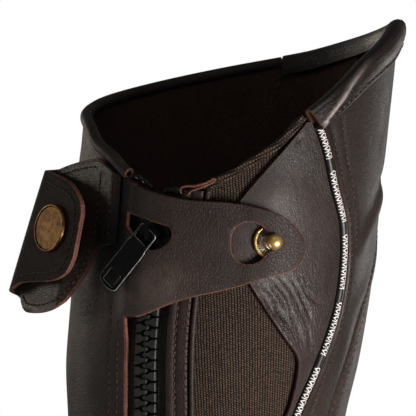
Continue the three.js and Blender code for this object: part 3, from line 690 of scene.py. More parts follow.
def tapePaint(name, colour, light):
    # Twill of threads crossing on the slant; weave is their pitch in millimetres.
    paint = Paint(name, Roughness=0.8, IOR=1.45)
    weave = 0.55
    across, up = paint.clothPlace(0, 1)
    first = across.math("SINE", (across + up) * (math.pi / weave)) * 0.5 + 0.5
    second = across.math("SINE", (across - up) * (math.pi / weave)) * 0.5 + 0.5
    weaveHeight = first * second
    paint.set("Base Color", paint.mix(weaveHeight, colour, light))
    paint.bump(weaveHeight, 0.00022, 0.9)
    return paint.material


def plasticPaint(name, colour, light):
    paint = Paint(name, IOR=1.4)
    mottle = paint.noise(700, 3, 0.6)
    scuffs = paint.noise(160, 3, 0.6)
    paint.set("Base Color", paint.mix(paint.range(mottle, 0.35, 0.7), colour, light))
    paint.set("Roughness", 0.52 + (scuffs - 0.5) * 0.25)
    paint.bump(mottle, 0.00006, 0.5)
    return paint.material


def metalPaint(name, colour, dark, roughness, metallic=1.0):
    paint = Paint(name, Metallic=metallic, IOR=1.5)
    tarnish = paint.noise(420, 4, 0.65)
    scuffs = paint.noise(1800, 3, 0.6)
    paint.set("Base Color", paint.mix(paint.range(tarnish, 0.4, 0.72), colour, dark))
    paint.set("Roughness", roughness + (tarnish - 0.5) * 0.2 + (scuffs - 0.5) * 0.08)
    paint.bump(scuffs, 0.00004, 0.5)
    return paint.material


def threadPaint(name, colour, dark):
    paint = Paint(name, Roughness=0.7, IOR=1.45)
    twist = paint.noise(2200, 2, 0.6)
    paint.set("Base Color", paint.mix(paint.range(twist, 0.35, 0.65), dark, colour))
    paint.bump(twist, 0.0001, 0.7)
    return paint.material


pipingPrint = {"group": 24.0, "printed": 19.6, "pitch": 2.45, "middle": 1.3, "ink": rgb(246, 244, 242)}


def pipingPaint(name):
    # Black coated cord. Its marks are plain lozenges and bars in groups, printed on the outward side.
    paint = Paint(name, IOR=1.48)
    along, around = paint.clothPlace(0, 1)
    inGroup = (along % pipingPrint["group"]) < pipingPrint["printed"]
    step = (along % pipingPrint["group"]) % pipingPrint["pitch"]
    side = abs(around)
    reach = abs(step - pipingPrint["middle"]) * 1.3 + side * 0.72
    lozenge = (reach < 1.2) - (reach < 0.74)
    bar = (abs(step - 0.12) < 0.15) * (side < 1.6)
    marks = inGroup * lozenge.math("MAXIMUM", lozenge, bar)
    worn = paint.range(paint.noise(900, 3), 0.28, 0.42)
    tone = paint.mix(paint.noise(300, 3) * 0.4, rgb(13, 11, 12), rgb(34, 29, 30))
    paint.set("Base Color", paint.mix(marks * worn, tone, pipingPrint["ink"]))
    paint.set("Roughness", 0.42 + marks * 0.2)
    paint.bump(paint.noise(1500, 3), 0.00006, 0.5)
    return paint.material


leather = leatherPaint("brownLeather", leatherLook)
# Painted light: the outer panel is painted darker than the front panel's plain leather, so the front strip
# past the outer seam shows lighter, as if lit from the side.
outerLeather = leatherPaint("outerLeather", {
    **leatherLook, "colour": rgb(42, 31, 27), "dark": rgb(28, 20, 17), "worn": rgb(58, 46, 41)})
# Painted shadow: the panel and strap beside and under the snap tab are painted near black, as if in its
# shade.
panelPaintedShadow = {"left": (-30, -24), "right": (-14, 0), "low": (350, 366), "high": (398, 404), "share": 0.97}
# The last colour here paints the strap's lower half paler: wear and a painted highlight.
panelLeather = leatherPaint("panelLeather", {**leatherLook, "grainDepth": 0.12}, 0.8, panelPaintedShadow,
                             rgb(86, 74, 69))
mattLeather = leatherPaint("mattLeather", {
    **leatherLook, "colour": rgb(36, 28, 23), "dark": rgb(26, 19, 15), "worn": rgb(46, 37, 31),
    "roughness": 0.78, "coat": 0.0})
# Painted shadow: the tab's sewn root, behind its flap, is painted near black.
tabPaintedShadow = {"left": (-2, -1), "right": (7, 13), "low": (24, 34), "high": (44, 56), "share": 0.9}
tabLeather = leatherPaint("tabLeather", {
    **leatherLook, "colour": rgb(47, 35, 25), "dark": rgb(31, 22, 15), "worn": rgb(60, 46, 37),
    "grainSize": 0.8, "grainDepth": 0.2, "roughness": 0.43, "coat": 0.12}, 1.0, tabPaintedShadow)
patchLeather = leatherPaint("patchLeather", {
    **leatherLook, "colour": rgb(57, 45, 43), "roughness": 0.42, "coat": 0.12, "grainSize": 0.7},
    0.6, wrinkled=((-57, 1.0), (-70, 0.7)))
# Its pale last colour is a painted highlight along the collar's crease.
# The collar's colours are darker than the other leather's: painted shade on the band's rounded top, which
# gets little light.
collarLeather = leatherPaint("collarLeather", {
    **leatherLook, "colour": rgb(38, 28, 24), "dark": rgb(24, 17, 14), "worn": rgb(54, 43, 39),
    "roughness": 0.46, "coat": 0.08}, 1.1, wearAndHighlight=rgb(168, 157, 153))
rawEdge = rawEdgePaint("rawEdge", rgb(146, 99, 84), rgb(88, 52, 42))
darkEdge = rawEdgePaint("darkRawEdge", rgb(92, 52, 42), rgb(48, 27, 23))
flesh = fleshPaint("fleshSide", rgb(78, 58, 50), rgb(48, 34, 29))
elasticWeave = wovenPaint("ribbedElastic", elasticLook)
tapeWeave = tapePaint("zipTapeWeave", rgb(30, 31, 30), rgb(88, 90, 87))
zipPlastic = plasticPaint("zipPlastic", rgb(34, 36, 34), rgb(50, 53, 50))
zipMetal = metalPaint("blackEnamel", rgb(8, 9, 10), rgb(16, 17, 18), 0.2, 0.25)
brass = metalPaint("polishedBrass", rgb(246, 208, 134), rgb(206, 160, 88), 0.34, 0.82)
agedBrass = metalPaint("agedBrass", rgb(150, 112, 66), rgb(92, 68, 42), 0.4)
agedFace = metalPaint("agedBrassFace", rgb(112, 84, 52), rgb(74, 54, 36), 0.48)
agedDark = metalPaint("agedBrassRecess", rgb(40, 29, 19), rgb(22, 16, 12), 0.56)
knurledBrass = metalPaint("knurledRing", rgb(222, 214, 198), rgb(60, 52, 42), 0.28)
brownThread = threadPaint("brownThread", rgb(104, 66, 51), rgb(44, 26, 21))
darkThread = threadPaint("darkThread", rgb(104, 86, 76), rgb(38, 28, 23))
# Painted shade: near-black discs stand for the dark insides of the needle holes.
needleHoleShade = threadPaint("needleHoleShade", rgb(14, 10, 9), rgb(8, 6, 5))
# Painted highlights: pale and grey finishes for the pull tab's bevels, standing in for the light they catch.
bevelShine = metalPaint("enamelEdgeHighlight", rgb(196, 198, 198), rgb(110, 112, 112), 0.3, 0.6)
bevelDull = metalPaint("dullEnamelEdge", rgb(72, 72, 70), rgb(28, 28, 28), 0.4, 0.4)
print("finishes ready")


# Stitches
stitch = {"pitch": 2.65, "length": 1.75, "width": 0.52, "proud": 0.2, "hole": 0.4, "sides": 6}
threadShape = {"along": [-0.5, -0.36, 0, 0.36, 0.5], "rise": [-0.9, 0.25, 0.7, 0.25, -0.9],
               "size": [0.5, 0.95, 1, 0.95, 0.5]}


def stitchPath(name, path, normals, pitch=stitch["pitch"], length=stitch["length"], width=stitch["width"],
               skew=0.0, thread=brownThread, hole=stitch["hole"]):
    # Short threads along a path, each sunk at both ends in a hole drawn as a near-black disc, painted shade
    # for the hole's depth. The path is in metres.
    steps = runningLength(path) * toMm
    stations = np.array(threadShape["along"])
    rise = np.array(threadShape["rise"]) * stitch["proud"] * toMetres
    size = np.array(threadShape["size"]) * width * toMetres / 2
    turn = np.linspace(0, math.tau, stitch["sides"], endpoint=False)
    starts = np.arange(pitch * 0.5, steps[-1] - pitch * 0.3, pitch)
    starts = starts + np.random.default_rng(len(path)).uniform(-0.12, 0.12, len(starts))
    at = starts[:, None] + stations * length

    def along(values, where):
        return np.stack([np.interp(where, steps, column) for column in values.T], -1)

    middle, out = along(path, at), along(normals, at)
    forward = middle[:, -1:] - middle[:, :1]
    forward /= np.linalg.norm(forward, axis=-1, keepdims=True)
    side = np.cross(out, forward)
    middle = middle + side * (stations * skew * toMetres)[:, None] + out * rise[:, None]
    spokes = side[:, :, None] * np.cos(turn)[:, None] + out[:, :, None] * np.sin(turn)[:, None]
    threads = (middle[:, :, None] + spokes * size[:, None, None]).reshape(-1, 3)
    numbers = np.arange(len(threads)).reshape(-1, len(stations), stitch["sides"])
    after = np.roll(numbers, -1, axis=2)
    quads = np.stack([numbers[:, :-1], after[:, :-1], after[:, 1:], numbers[:, 1:]], -1).reshape(-1, 4)
    ends = numbers[:, 0, ::-1].tolist() + numbers[:, -1].tolist()
    holeAt = starts[:, None] + np.array([-0.5, 0.5]) * (length + 0.15)
    centre, lift, ahead = along(path, holeAt), along(normals, holeAt), np.repeat(forward, 2, axis=1)
    centre = centre + side[:, :1] * (np.array([-0.5, 0.5]) * skew * toMetres)[:, None] + lift * 0.00004
    aside = np.cross(lift, ahead)[:, :, None]
    spoke = aside * np.cos(turn)[:, None] + ahead[:, :, None] * np.sin(turn)[:, None]
    holes = (centre[:, :, None] + spoke * hole * toMetres).reshape(-1, 3)
    rings = np.arange(len(holes)).reshape(-1, stitch["sides"]) + len(threads)
    faces = quads.tolist() + ends + rings.tolist()
    looks = [0] * (len(quads) + len(ends)) + [1] * len(rings)
    piece = makePiece(name, np.vstack([threads, holes]), faces, [thread, needleHoleShade], looks, sharp=60)


def stitchRow(name, line, liftAt, **sizes):
    line = smoothLine(line, 1.0) if len(line) > 2 else resample(toFlat(line), 1.0) / (mmPerDegree, 1)
    lift = liftAt(toFlat(line))
    path = onLeg(line[:, 0], line[:, 1], lift)
    normals = (onLeg(line[:, 0], line[:, 1], lift + 1) - path) * toMm
    stitchPath(name, path, normals, **sizes)


# Inner panel with the strap cut in one
innerPanel = {
    "lift": 1.0,
    "thickness": 2.0,
    "strapThickness": 1.6,
    "foot": 346.3,
    "zipEdge": 8.0,
    "edgeBulge": (0.28, 0.75),
    "strapWearAndHighlight": ((1, 356), (11, 9)),
    "seamRows": {"outer": 14.6, "inner": 10.9},
    "creases": [
        ((-40, 330), (-30, 322), (-22, 300), 5, 0.35),
        ((-52, 352), (-44, 340), (-40, 312), 7, -0.5),
        ((-72, 344), (-60, 330), (-55, 296), 8, 0.6),
        ((-88, 408), (-70, 402), (-58, 396), 5, 0.6),
        ((-104, 396), (-92, 384), (-80, 380), 6, -0.5),
        ((-128, 402), (-118, 388), (-100, 384), 7, 0.55),
        ((-150, 376), (-140, 360), (-122, 352), 8, -0.6),
        ((-96, 330), (-88, 318), (-70, 312), 7, -0.45),
        ((-136, 322), (-122, 312), (-108, 300), 9, 0.5),
        ((-60, 250), (-50, 244), (-34, 236), 8, -0.5),
        ((-110, 232), (-92, 226), (-74, 230), 8, 0.5),
        ((-140, 200), (-122, 192), (-104, 198), 9, -0.5),
        ((-60, 90), (-42, 84), (-22, 92), 7, -0.6),
        ((-96, 76), (-70, 70), (-40, 74), 8, 0.6),
        ((-150, 96), (-130, 88), (-104, 94), 8, -0.55),
        ((-158, 60), (-130, 54), (-100, 60), 8, 0.55),
    ],
    "strapCreases": [
        ((-6, 354), (2, 352), (10, 356), 3.0, 0.25),
        ((12, 372), (18, 366), (24, 372), 4.0, -0.2),
        ((20, 380), (26, 376), (34, 379), 2.6, 0.2),
    ],
}
tongue = {
    "angle": [-8, -4, 1, 6, 11, 17, 24, 31, 36, 43, 48, 51.5, 54, 55],
    "low": [346.3, 346.4, 348, 350, 351.8, 353.4, 354.9, 356.5, 358.1, 360.2, 361.4, 363, 365.4, 368],
    "high": [391, 389.7, 388.3, 387.2, 386.3, 385.8, 385.4, 384.7, 383.6, 381.6, 379, 376.2, 373.2, 370.5],
    "lift": [3.9, 4.3, 4.4, 4.4, 4, 3.8, 3.6, 3.7, 4.6, 5.5, 5.7, 5.7, 5.5, 5.5],
}
rollRadius = 2.2


def innerPanelTop(angle):
    # The cloth ends inside the rolled edge, lower where the edge runs steeply.
    slope = (topAt(angle + 3) - topAt(angle - 3)) / 6 * degreesOf(1, topAt(angle))
    return topAt(angle) - rollRadius - (rollRadius - 0.4) * np.hypot(1, slope)


def zipSeam(arc, high=341.0):
    return upLine(lambda height: besideZip(height, arc), 2.0, high)


panelRows = {
    "outer": np.vstack([zipSeam(-innerPanel["seamRows"]["outer"]), [(-19.4, 350.5)]]),
    "inner": zipSeam(-innerPanel["seamRows"]["inner"], high=345.0),
}


def panelLift(flat):
    angle, height = flat[:, 0] / mmPerDegree, flat[:, 1]
    strap = readTable(tongue, "angle", angle, "lift")
    ramp = smoothStep(angle, -18, -8) * smoothStep(height, 334, 349)
    lift = innerPanel["lift"] + (strap - innerPanel["lift"]) * ramp
    onStrap = smoothStep(angle, -12, -4)
    lift = lift + creased(flat, innerPanel["creases"]) * (1 - smoothStep(angle, -24, -14))
    lift = lift + creased(flat, innerPanel["strapCreases"]) * onStrap
    lift = lift + waves(flat, 34, 3) * 0.12 * (1 - onStrap) + waves(flat, 16, 5) * 0.05
    return lift + grooved(flat, panelRows.values()) * (height < 352)


def panelThickness(flat):
    skived = innerPanel["thickness"] - innerPanel["strapThickness"]
    return innerPanel["thickness"] - skived * smoothStep(flat[:, 0] / mmPerDegree, -14, -6)


def panelEdge(height):
    return besideZip(height, -innerPanel["zipEdge"])


def frontSeam(height):
    return height * 0 + frontSeamAngle


foot = innerPanel["foot"]
strapLow = smoothLine(list(zip(tongue["angle"], tongue["low"])))
strapHigh = smoothLine(list(zip(tongue["angle"], tongue["high"])))[::-1]
panelEnd = float(besideZip(394, -8.3))
panelOutline = closedLoop(
    hemLine(frontSeam, panelEdge),
    fromHem(panelEdge, foot),
    strapLow,
    strapHigh,
    [(panelEnd, 391.4)],
    acrossLine(innerPanelTop, panelEnd, frontSeamAngle),
    fromHem(frontSeam, float(innerPanelTop(frontSeamAngle)))[::-1],
)
window = closedLoop(
    resample(toFlat([(-12.6, 382.7), (-12.6, 377.5), (-3, 369.6)]), 0.6) / (mmPerDegree, 1),
    bezier((-3, 369.6), (0, 367.6), (7.4, 370), (7.3, 375), 16),
    resample(toFlat([(7.3, 375), (6.2, 377.4), (-12.6, 382.7)]), 0.6) / (mmPerDegree, 1),
)
stud = {"angle": 42.8, "height": 372.0, "lift": 3.4}
holeTip = stud["angle"] + 3.6
buttonhole = closedLoop(
    bezier((28, 372.3), (28, 381), (37.5, 380.6), (40.5, 376), 20),
    bezier((40.5, 376), (42, 374), (44, 374.6), (holeTip, 372.6), 10),
    bezier((holeTip, 371.2), (44, 369), (42, 369), (40.5, 366.6), 10),
    bezier((40.5, 366.6), (37.5, 362.4), (28, 362.6), (28, 372.3), 20),
)


def panelEdgeLook(flat):
    angle, height = flat[:, 0] / mmPerDegree, flat[:, 1]
    byZip = (np.abs(angle - panelEdge(height)) < 1) & (height < foot + 1)
    nearHole = nearLine(flat[:, :2], np.vstack([window, window[:1]]))[0] < 0.5
    nearHole |= nearLine(flat[:, :2], np.vstack([buttonhole, buttonhole[:1]]))[0] < 0.5
    return np.where(byZip | nearHole | (angle > 49) | ((angle > -6) & (height < 364)), 1, 3)


def panelBulge(flat):
    # The cut edge beside the zip is left thick and round.
    byZip = np.abs(flat[:, 0] / mmPerDegree - panelEdge(flat[:, 1])) < 1
    return np.where(byZip & (flat[:, 1] < foot), *innerPanel["edgeBulge"][::-1])


def strapWearAndHighlight(flat):
    # The strap is painted paler on its lower half, by the zip: wear, and a painted highlight where it bulges
    # over the zip.
    return wornAround(flat, *innerPanel["strapWearAndHighlight"])


innerCloth = cutCloth("innerPanel", panelOutline, panelLift, panelThickness,
                      [panelLeather, rawEdge, flesh, darkEdge], holes=[window, buttonhole], pitch=0.95,
                      coarse=5.0, bulge=panelBulge, edgeLookAt=panelEdgeLook, wearAndLightAt=strapWearAndHighlight)
standFor("inner_panel")
for label, line in panelRows.items():
    stitchRow(f"innerPanelStitches_{label}", line, lambda f: panelLift(f) + panelThickness(f))
print("inner panel and strap done")


# High outer panel and front panel
collarInset = 3.4  # the panels end this far below the collar's top
outerPanel = {
    "lift": 1.0,
    "thickness": 2.0,
    "byPiping": (0.75, 1.5),  # this and the next two are the rise and width of a swell
    "bySeam": (0.5, 2.4),
    "groove": (-0.4, 0.8),
    "grooveAt": 3.6,
    "creases": [
        ((120, 392), (101, 384), (86, 366), 3.6, 1.5),
        ((124, 397), (106, 391), (96, 384), 3.4, -1.3),
        ((112, 372), (98, 366), (90, 356), 5.0, -0.5),
        ((104, 414), (100, 404), (104, 394), 3.2, 0.5),
        ((112, 418), (109, 408), (112, 398), 3.0, -0.5),
        ((90, 350), (88, 340), (84, 322), 3.5, 0.5),
        ((88, 346), (94, 352), (104, 360), 3.0, 0.5),
        ((70, 300), (72, 290), (76, 272), 5.0, 0.4),
        ((60, 240), (68, 236), (78, 240), 6.0, -0.4),
        ((52, 100), (62, 96), (76, 102), 6.0, -0.5),
        ((52, 74), (62, 70), (76, 76), 6.0, 0.5),
    ],
    "rowNear": [(64.3, 411.2), (67.2, 404.4), (70.9, 397.3), (74.5, 390.2), (77.5, 384.8), (79.9, 379.5),
                (81.9, 372.3), (82.9, 365.2), (83.0, 358), (82.2, 346), (80.2, 333.8), (77.6, 327.3),
                (74.7, 318.8), (72.4, 310.9), (68, 296), (64, 275), (60, 245), (56.5, 200), (53.5, 100),
                (52.5, 3)],
    "rowFar": [(68.8, 414.8), (70.3, 409.8), (72.5, 404.4), (74.0, 400.5), (77.0, 395.2), (80.0, 388.7),
               (82.2, 384.4), (84.0, 379.5), (84.9, 374.1), (84.8, 368.8)],
}
frontPanel = {
    "lift": 1.0,
    "thickness": 2.0,
    "end": 189.7,
    "bySeam": (-0.8, 1.5),  # rise and width
    "creases": [
        ((128, 410), (140, 402), (160, 408), 6, 0.6),
        ((134, 392), (150, 384), (172, 388), 7, -0.6),
        ((120, 352), (140, 344), (168, 350), 8, 0.5),
        ((112, 318), (130, 310), (150, 318), 8, -0.5),
        ((100, 250), (124, 242), (150, 250), 8, 0.5),
        ((96, 96), (120, 88), (150, 98), 8, -0.6),
        ((96, 72), (120, 64), (160, 70), 8, 0.6),
    ],
}
def insideCollar(angle):
    return topAt(angle) - collarInset


def outerLeft(height):
    return besidePiping(height, 2.1)


def outerRight(height):
    return outerSeamAt(height, -0.15)


def frontLeft(height):
    return outerSeamAt(height, 0.15)


def frontRight(height):
    return height * 0 + frontPanel["end"]


def lineTop(angleAt):
    # Where a line up the leg meets the panel's top edge inside the collar.
    heights = np.linspace(413.5, 450, 200)
    spare = insideCollar(angleAt(heights)) - heights
    return float(heights[np.argmin(np.abs(spare))])


def outerLift(flat):
    angle, height = flat[:, 0] / mmPerDegree, flat[:, 1]
    lift = outerPanel["lift"] + creased(flat, outerPanel["creases"])
    lift = lift + waves(flat, 26, 11) * 0.1 + grooved(flat, outerRows, 0.7, 0.34)
    seam = np.abs(angle - outerSeamAt(height)) * mmPerDegree
    byPiping = np.clip(angle - outerLeft(height), 0, 20) * mmPerDegree
    lift = lift + hump(byPiping, *outerPanel["byPiping"]) + hump(seam, *outerPanel["bySeam"])
    return lift + hump(seam - outerPanel["grooveAt"], *outerPanel["groove"])


def frontLift(flat):
    angle, height = flat[:, 0] / mmPerDegree, flat[:, 1]
    lift = frontPanel["lift"] + creased(flat, frontPanel["creases"]) + waves(flat, 34, 13) * 0.12
    seam = np.abs(angle - outerSeamAt(height)) * mmPerDegree
    return lift + grooved(flat, [frontRow]) + hump(seam, *frontPanel["bySeam"])


outerRows = [smoothLine(outerPanel["rowNear"]), smoothLine(outerPanel["rowFar"])]
frontRow = upLine(lambda height: outerSeamAt(height, 3.2), 3.0, 430.0)
leftTop, rightTop = min(lineTop(outerLeft), 414.0), lineTop(outerRight)
outerOutline = closedLoop(
    hemLine(outerLeft, outerRight),
    fromHem(outerRight, rightTop),
    acrossLine(insideCollar, float(outerRight(rightTop)), float(outerLeft(leftTop))),
    fromHem(outerLeft, leftTop)[::-1],
)
outerCloth = cutCloth("outerPanel", outerOutline, outerLift, evenly(outerPanel["thickness"]),
                      [outerLeather, darkEdge, flesh], pitch=0.9, coarse=4)
standFor("outer_panel")
for label, line in zip(("near", "far"), outerRows):
    stitchRow(f"outerPanelStitches_{label}", line, lambda f: outerLift(f) + 2.02, pitch=2.2, length=1.25,
              hole=0.52)

seamRow = upLine(lambda height: outerSeamAt(height, -2.0), 3.0, 436.0)
stitchRow("outerSeamStitches", seamRow, lambda f: outerLift(f) + 1.86, length=1.5, width=0.46)
frontTop = lineTop(frontLeft)
frontOutline = closedLoop(
    hemLine(frontLeft, frontRight),
    fromHem(frontRight, float(insideCollar(frontPanel["end"]))),
    acrossLine(insideCollar, frontPanel["end"], float(frontLeft(frontTop))),
    fromHem(frontLeft, frontTop)[::-1],
)
frontCloth = cutCloth("frontPanel", frontOutline, frontLift, evenly(frontPanel["thickness"]),
                      [leather, darkEdge, flesh], pitch=1.2, coarse=5)
standFor("front_panel")
stitchRow("frontPanelStitches", frontRow, lambda f: frontLift(f) + 2)
print("outer and front panels done")


# Stud patch
studPatch = {
    "lift": 1.5,
    "thickness": 1.5,
    "top": 413.2,
    "curl": (0.6, 2.4),  # rise and width
    "wrinkled": ((46, 347), (9.5, 12)),
    "leastWrinkle": 0.12,
    "edge": {
        "height": [309, 316, 326, 332, 339, 346, 353, 359, 366, 375, 385.5, 406, 411, 414],
        "angle": [59.4, 61.2, 61.7, 60.3, 53, 46.4, 40.4, 35.6, 29.5, 26.5, 30.3, 47.2, 51.4, 53.8],
    },
    "creases": [
        ((57.8, 356.3), (64, 351), (70.5, 350.2), 0.8, -0.43),
        ((41.6, 358), (47, 353), (53.5, 345), 0.9, -0.4),
        ((43.5, 360.5), (52, 353), (57, 343), 0.7, -0.37),
        ((47, 361), (54, 355), (60, 345.5), 0.8, -0.4),
        ((51, 361), (58, 354), (64, 344), 0.7, -0.31),
        ((45.5, 352), (51, 346), (56, 340), 0.7, -0.34),
        ((40.5, 355), (45, 350), (49, 345.5), 0.7, -0.34),
        ((53, 349), (58, 343), (61.5, 336.5), 0.8, -0.37),
        ((55, 356), (62, 349), (66.5, 341), 0.7, -0.34),
        ((60, 347), (64, 341), (66.5, 334), 0.8, -0.31),
        ((48, 347.5), (54, 342), (58.5, 335.5), 1.2, 0.31),
        ((46, 357.5), (53, 350.5), (58, 342.5), 1.3, 0.37),
        ((36, 384), (44, 390), (52, 392), 6.0, 0.25),
        ((52, 400), (60, 392), (66, 380), 5.0, -0.25),
        ((49.5, 405.6), (50.4, 407), (51.6, 408.6), 0.6, -0.3),
    ],
}


def patchEdgeAt(height):
    # The free edge: close beside the piping low down, then out round the point.
    low, edge = besidePiping(height, -4.2), studPatch["edge"]
    return np.where(height < edge["height"][0], low, readTable(edge, "height", height, "angle"))


def patchRight(height):
    return besidePiping(height, -2.1)


def patchLift(flat):
    angle, height = flat[:, 0] / mmPerDegree, flat[:, 1]
    fromEdge = (angle - patchEdgeAt(height)) * mmPerDegree
    lift = studPatch["lift"] + creased(flat, studPatch["creases"]) + waves(flat, 18, 21) * 0.06
    # The free edge curls up between the point's foot and the strap.
    curl = hump(np.clip(fromEdge, 0, 9), *studPatch["curl"]) * smoothStep(height, 306, 318)
    return lift + curl * (1 - smoothStep(height, 362, 372))


def patchWrinkles(flat):
    # The fine wrinkles gather below the strap, near the patch's free edge.
    return wornAround(flat, *studPatch["wrinkled"]) + studPatch["leastWrinkle"]


patchOutline = closedLoop(
    hemLine(patchEdgeAt, patchRight, 0.8),
    fromHem(patchRight, studPatch["top"], 0.6),
    fromHem(patchEdgeAt, studPatch["top"], 0.6)[::-1],
)
patchCloth = cutCloth("studPatch", patchOutline, patchLift, evenly(studPatch["thickness"]),
                      [patchLeather, darkEdge, flesh], pitch=0.55, coarse=1.2, wearAndLightAt=patchWrinkles)
standFor("stud_patch")
print("stud patch done")


# Elastic panel and its doubled top edge
elasticPanel = {
    "thickness": 1.2,
    "high": 414.6,
    "top": {"height": [390, 393, 400, 408, 412, 416], "angle": [12, 20, 32, 44, 47.8, 51.4]},
    "creases": [
        ((24, 338), (30, 330), (34, 316), 6, 0.3),
        ((40, 330), (46, 322), (50, 306), 6, -0.3),
        ((20, 240), (32, 236), (46, 240), 8, -0.4),
        ((18, 90), (28, 86), (40, 92), 7, -0.4),
    ],
}


def elasticEdgeAt(height):
    # Beside the zip up to its top, then along the elastic's slanting top edge.
    top = elasticPanel["top"]
    return np.where(height < top["height"][0], besideZip(height, 10),
                    readTable(top, "height", height, "angle"))


def elasticRight(height):
    return besidePiping(height, -2.6)


def elasticLift(flat):
    return creased(flat, elasticPanel["creases"]) + waves(flat, 30, 31) * 0.05


elasticOutline = closedLoop(
    hemLine(elasticEdgeAt, elasticRight),
    fromHem(elasticRight, elasticPanel["high"]),
    fromHem(elasticEdgeAt, elasticPanel["high"])[::-1],
)
elasticCloth = cutCloth("elasticPanel", elasticOutline, elasticLift, evenly(elasticPanel["thickness"]),
                        [elasticWeave] * 3, pitch=1.2, coarse=3)
standFor("elastic_panel")

# The sections are (up from the edge, lift) places.
bandRoute = smoothLine([(18, 392.4), (26, 396.2), (32, 399.8), (38, 403.6), (43, 406.9), (47, 411),
                        (51, 415.4)])
bandOuter = np.array([(-2.4, 1.6), (-2.3, 2.3), (-1.7, 2.75), (-1.2, 2.45), (-0.7, 2.75), (0.1, 2.6),
                      (0.45, 1.9)])
bandInner = np.array([(-2.2, 1.35), (-2.1, 1.5), (-1.7, 1.6), (-1.2, 1.5), (-0.7, 1.6), (0.0, 1.5),
                      (0.2, 1.35)])
bandAcross, bandAlong = np.linspace(0, 2.8, len(bandOuter)), np.linspace(0, 30, len(bandRoute))
bandFlat = np.stack(np.broadcast_arrays(bandAcross[None], bandAlong[:, None]), -1)
elasticBand = gridWall("elasticTopBand", sweptPoints(bandRoute, bandOuter), sweptPoints(bandRoute, bandInner),
                       [elasticWeave] * 3, bandFlat)
standFor("elastic_top_band")
print("elastic done")


# Piping
def cordPiece(name, route, lift, radius, look, sides=16):
    centre, ring, quads, numbers = roundCord(route, lift, radius, sides)
    first, last = numbers.size, numbers.size + 1
    points = np.vstack([ring.reshape(-1, 3), centre[:1], centre[-1:]])
    faces = quads.tolist()
    faces += [[first, numbers[0, (k + 1) % sides], numbers[0, k]] for k in range(sides)]
    faces += [[last, numbers[-1, k], numbers[-1, (k + 1) % sides]] for k in range(sides)]
    faces = [[int(n) for n in face][::-1] for face in faces]
    length = runningLength(centre) * toMm
    turn = np.linspace(0, math.tau, sides, endpoint=False)
    around = (np.mod(turn - math.pi / 2 + math.pi, math.tau) - math.pi) * radius
    flat = np.stack(np.broadcast_arrays(length[:, None], around[None]), -1).reshape(-1, 2)
    flat = np.vstack([flat, [[0, 9], [0, 9]]])
    return makePiece(name, points, faces, [look], [0] * len(faces), sharp=70, flat=flat)


pipingRoute = upLine(lambda height: readTable(pipingLine, "height", height, "angle"), 0.8, 411.3, 0.9)
pipingCord = cordPiece("pipingCord", pipingRoute, 2.6, 1.7, pipingPaint("printedPiping"), sides=24)
standFor("piping")
print("piping done")


# Collar band and rolled edge
# The sections are (up from the top line, lift) places, from the outer side over the fold to the inner.
collar = {
    "start": 53.3,
    "end": 190.0,
    "seam": -8.3,
    "fold": 8,  # the outer section turns over the edge at this one of its places
    "outer": [(-10, 3.9), (-9.95, 4.75), (-9.2, 5.25), (-8.3, 4.85), (-7.3, 5.4), (-5, 5.75), (-2.8, 5.6),
              (-1.1, 5.0), (0, 3.9), (0.35, 2.4), (0.1, 1), (-0.7, -0.3), (-2.4, -1.0), (-5, -1.2),
              (-7, -1.0)],
    "inner": [(-9.7, 3.6), (-9.5, 3.7), (-9, 3.75), (-8.3, 3.7), (-7.3, 3.85), (-5, 4.2), (-3.2, 4.15),
              (-2, 3.7), (-1.3, 3.1), (-1.05, 2.3), (-1.2, 1.4), (-1.8, 0.75), (-2.8, 0.45), (-5, 0.3),
              (-7, 0.3)],
}
# The third column sets how deep the crease is and how strong its painted highlight is.
collarCrease = {
    "angle": [51, 54, 58, 62, 67, 72, 80, 190],
    "up": [-9.8, -8.9, -6.8, -4.9, -2.7, -1.4, -0.6, -0.6],
    "creaseAndHighlight": [0.3, 0.85, 1, 1, 0.85, 0.4, 0.04, 0.02],
}
collarShare = {"angle": [51, 70, 77, 90, 104, 190], "share": [0.84, 0.82, 0.89, 0.95, 1, 1]}
collarAngles = np.concatenate([
    np.linspace(collar["start"], 90, 110), np.linspace(90, collar["end"], 140)[1:]])
collarRoute = np.stack([collarAngles, topAt(collarAngles)], -1)
collarWidths = readTable(collarShare, "angle", collarAngles, "share")[:, None]


def collarSections(side):
    # The folded section at each place, with its diagonal crease and the pull of the stitches on its seam. Its
    # third flat value places the crease's painted highlight.
    pitch = 0.45
    base, outer = (np.array(collar[key]) for key in (side, "outer"))
    steps = runningLength(outer)
    at = np.linspace(0, steps[-1], int(steps[-1] / pitch))
    up, lift = (np.interp(at, steps, column) for column in base.T)
    outerHalf = at < steps[collar["fold"]]
    crease = readTable(collarCrease, "angle", collarAngles, "up")[:, None]
    creaseAndHighlight = readTable(collarCrease, "angle", collarAngles, "creaseAndHighlight")[:, None]
    ridge = hump(up - crease, 1, 0.9) * outerHalf
    tilt = smoothStep(up - crease, 0, 4) * (1 - smoothStep(up, -1.8, 0)) * outerHalf
    along = runningLength(toFlat(collarRoute))[:, None]
    pull = np.cos(along * math.tau / stitch["pitch"]) * hump(up - collar["seam"], 1, 0.6) * outerHalf
    uneven = np.sin(along / 3.1 + up * 0.5) * np.sin(along / 7.3) * outerHalf * (up > -8)
    lift = lift + (0.5 * ridge - 0.85 * tilt) * np.minimum(creaseAndHighlight * 1.4, 1) + 0.13 * pull + 0.14 * uneven
    flat = np.stack(np.broadcast_arrays(along, up[None], ridge * creaseAndHighlight), -1)
    return np.stack([up * collarWidths, lift], -1), flat


collarOuter, collarFlat = collarSections("outer")
collarInner = collarSections("inner")[0]
collarOuter, collarInner = sweptPoints(collarRoute, collarOuter), sweptPoints(collarRoute, collarInner)
collarCloth = gridWall("collarBand", collarOuter[::-1], collarInner[::-1], [collarLeather, rawEdge, flesh],
                       collarFlat[::-1], bulge=0.1)
standFor("collar_band")


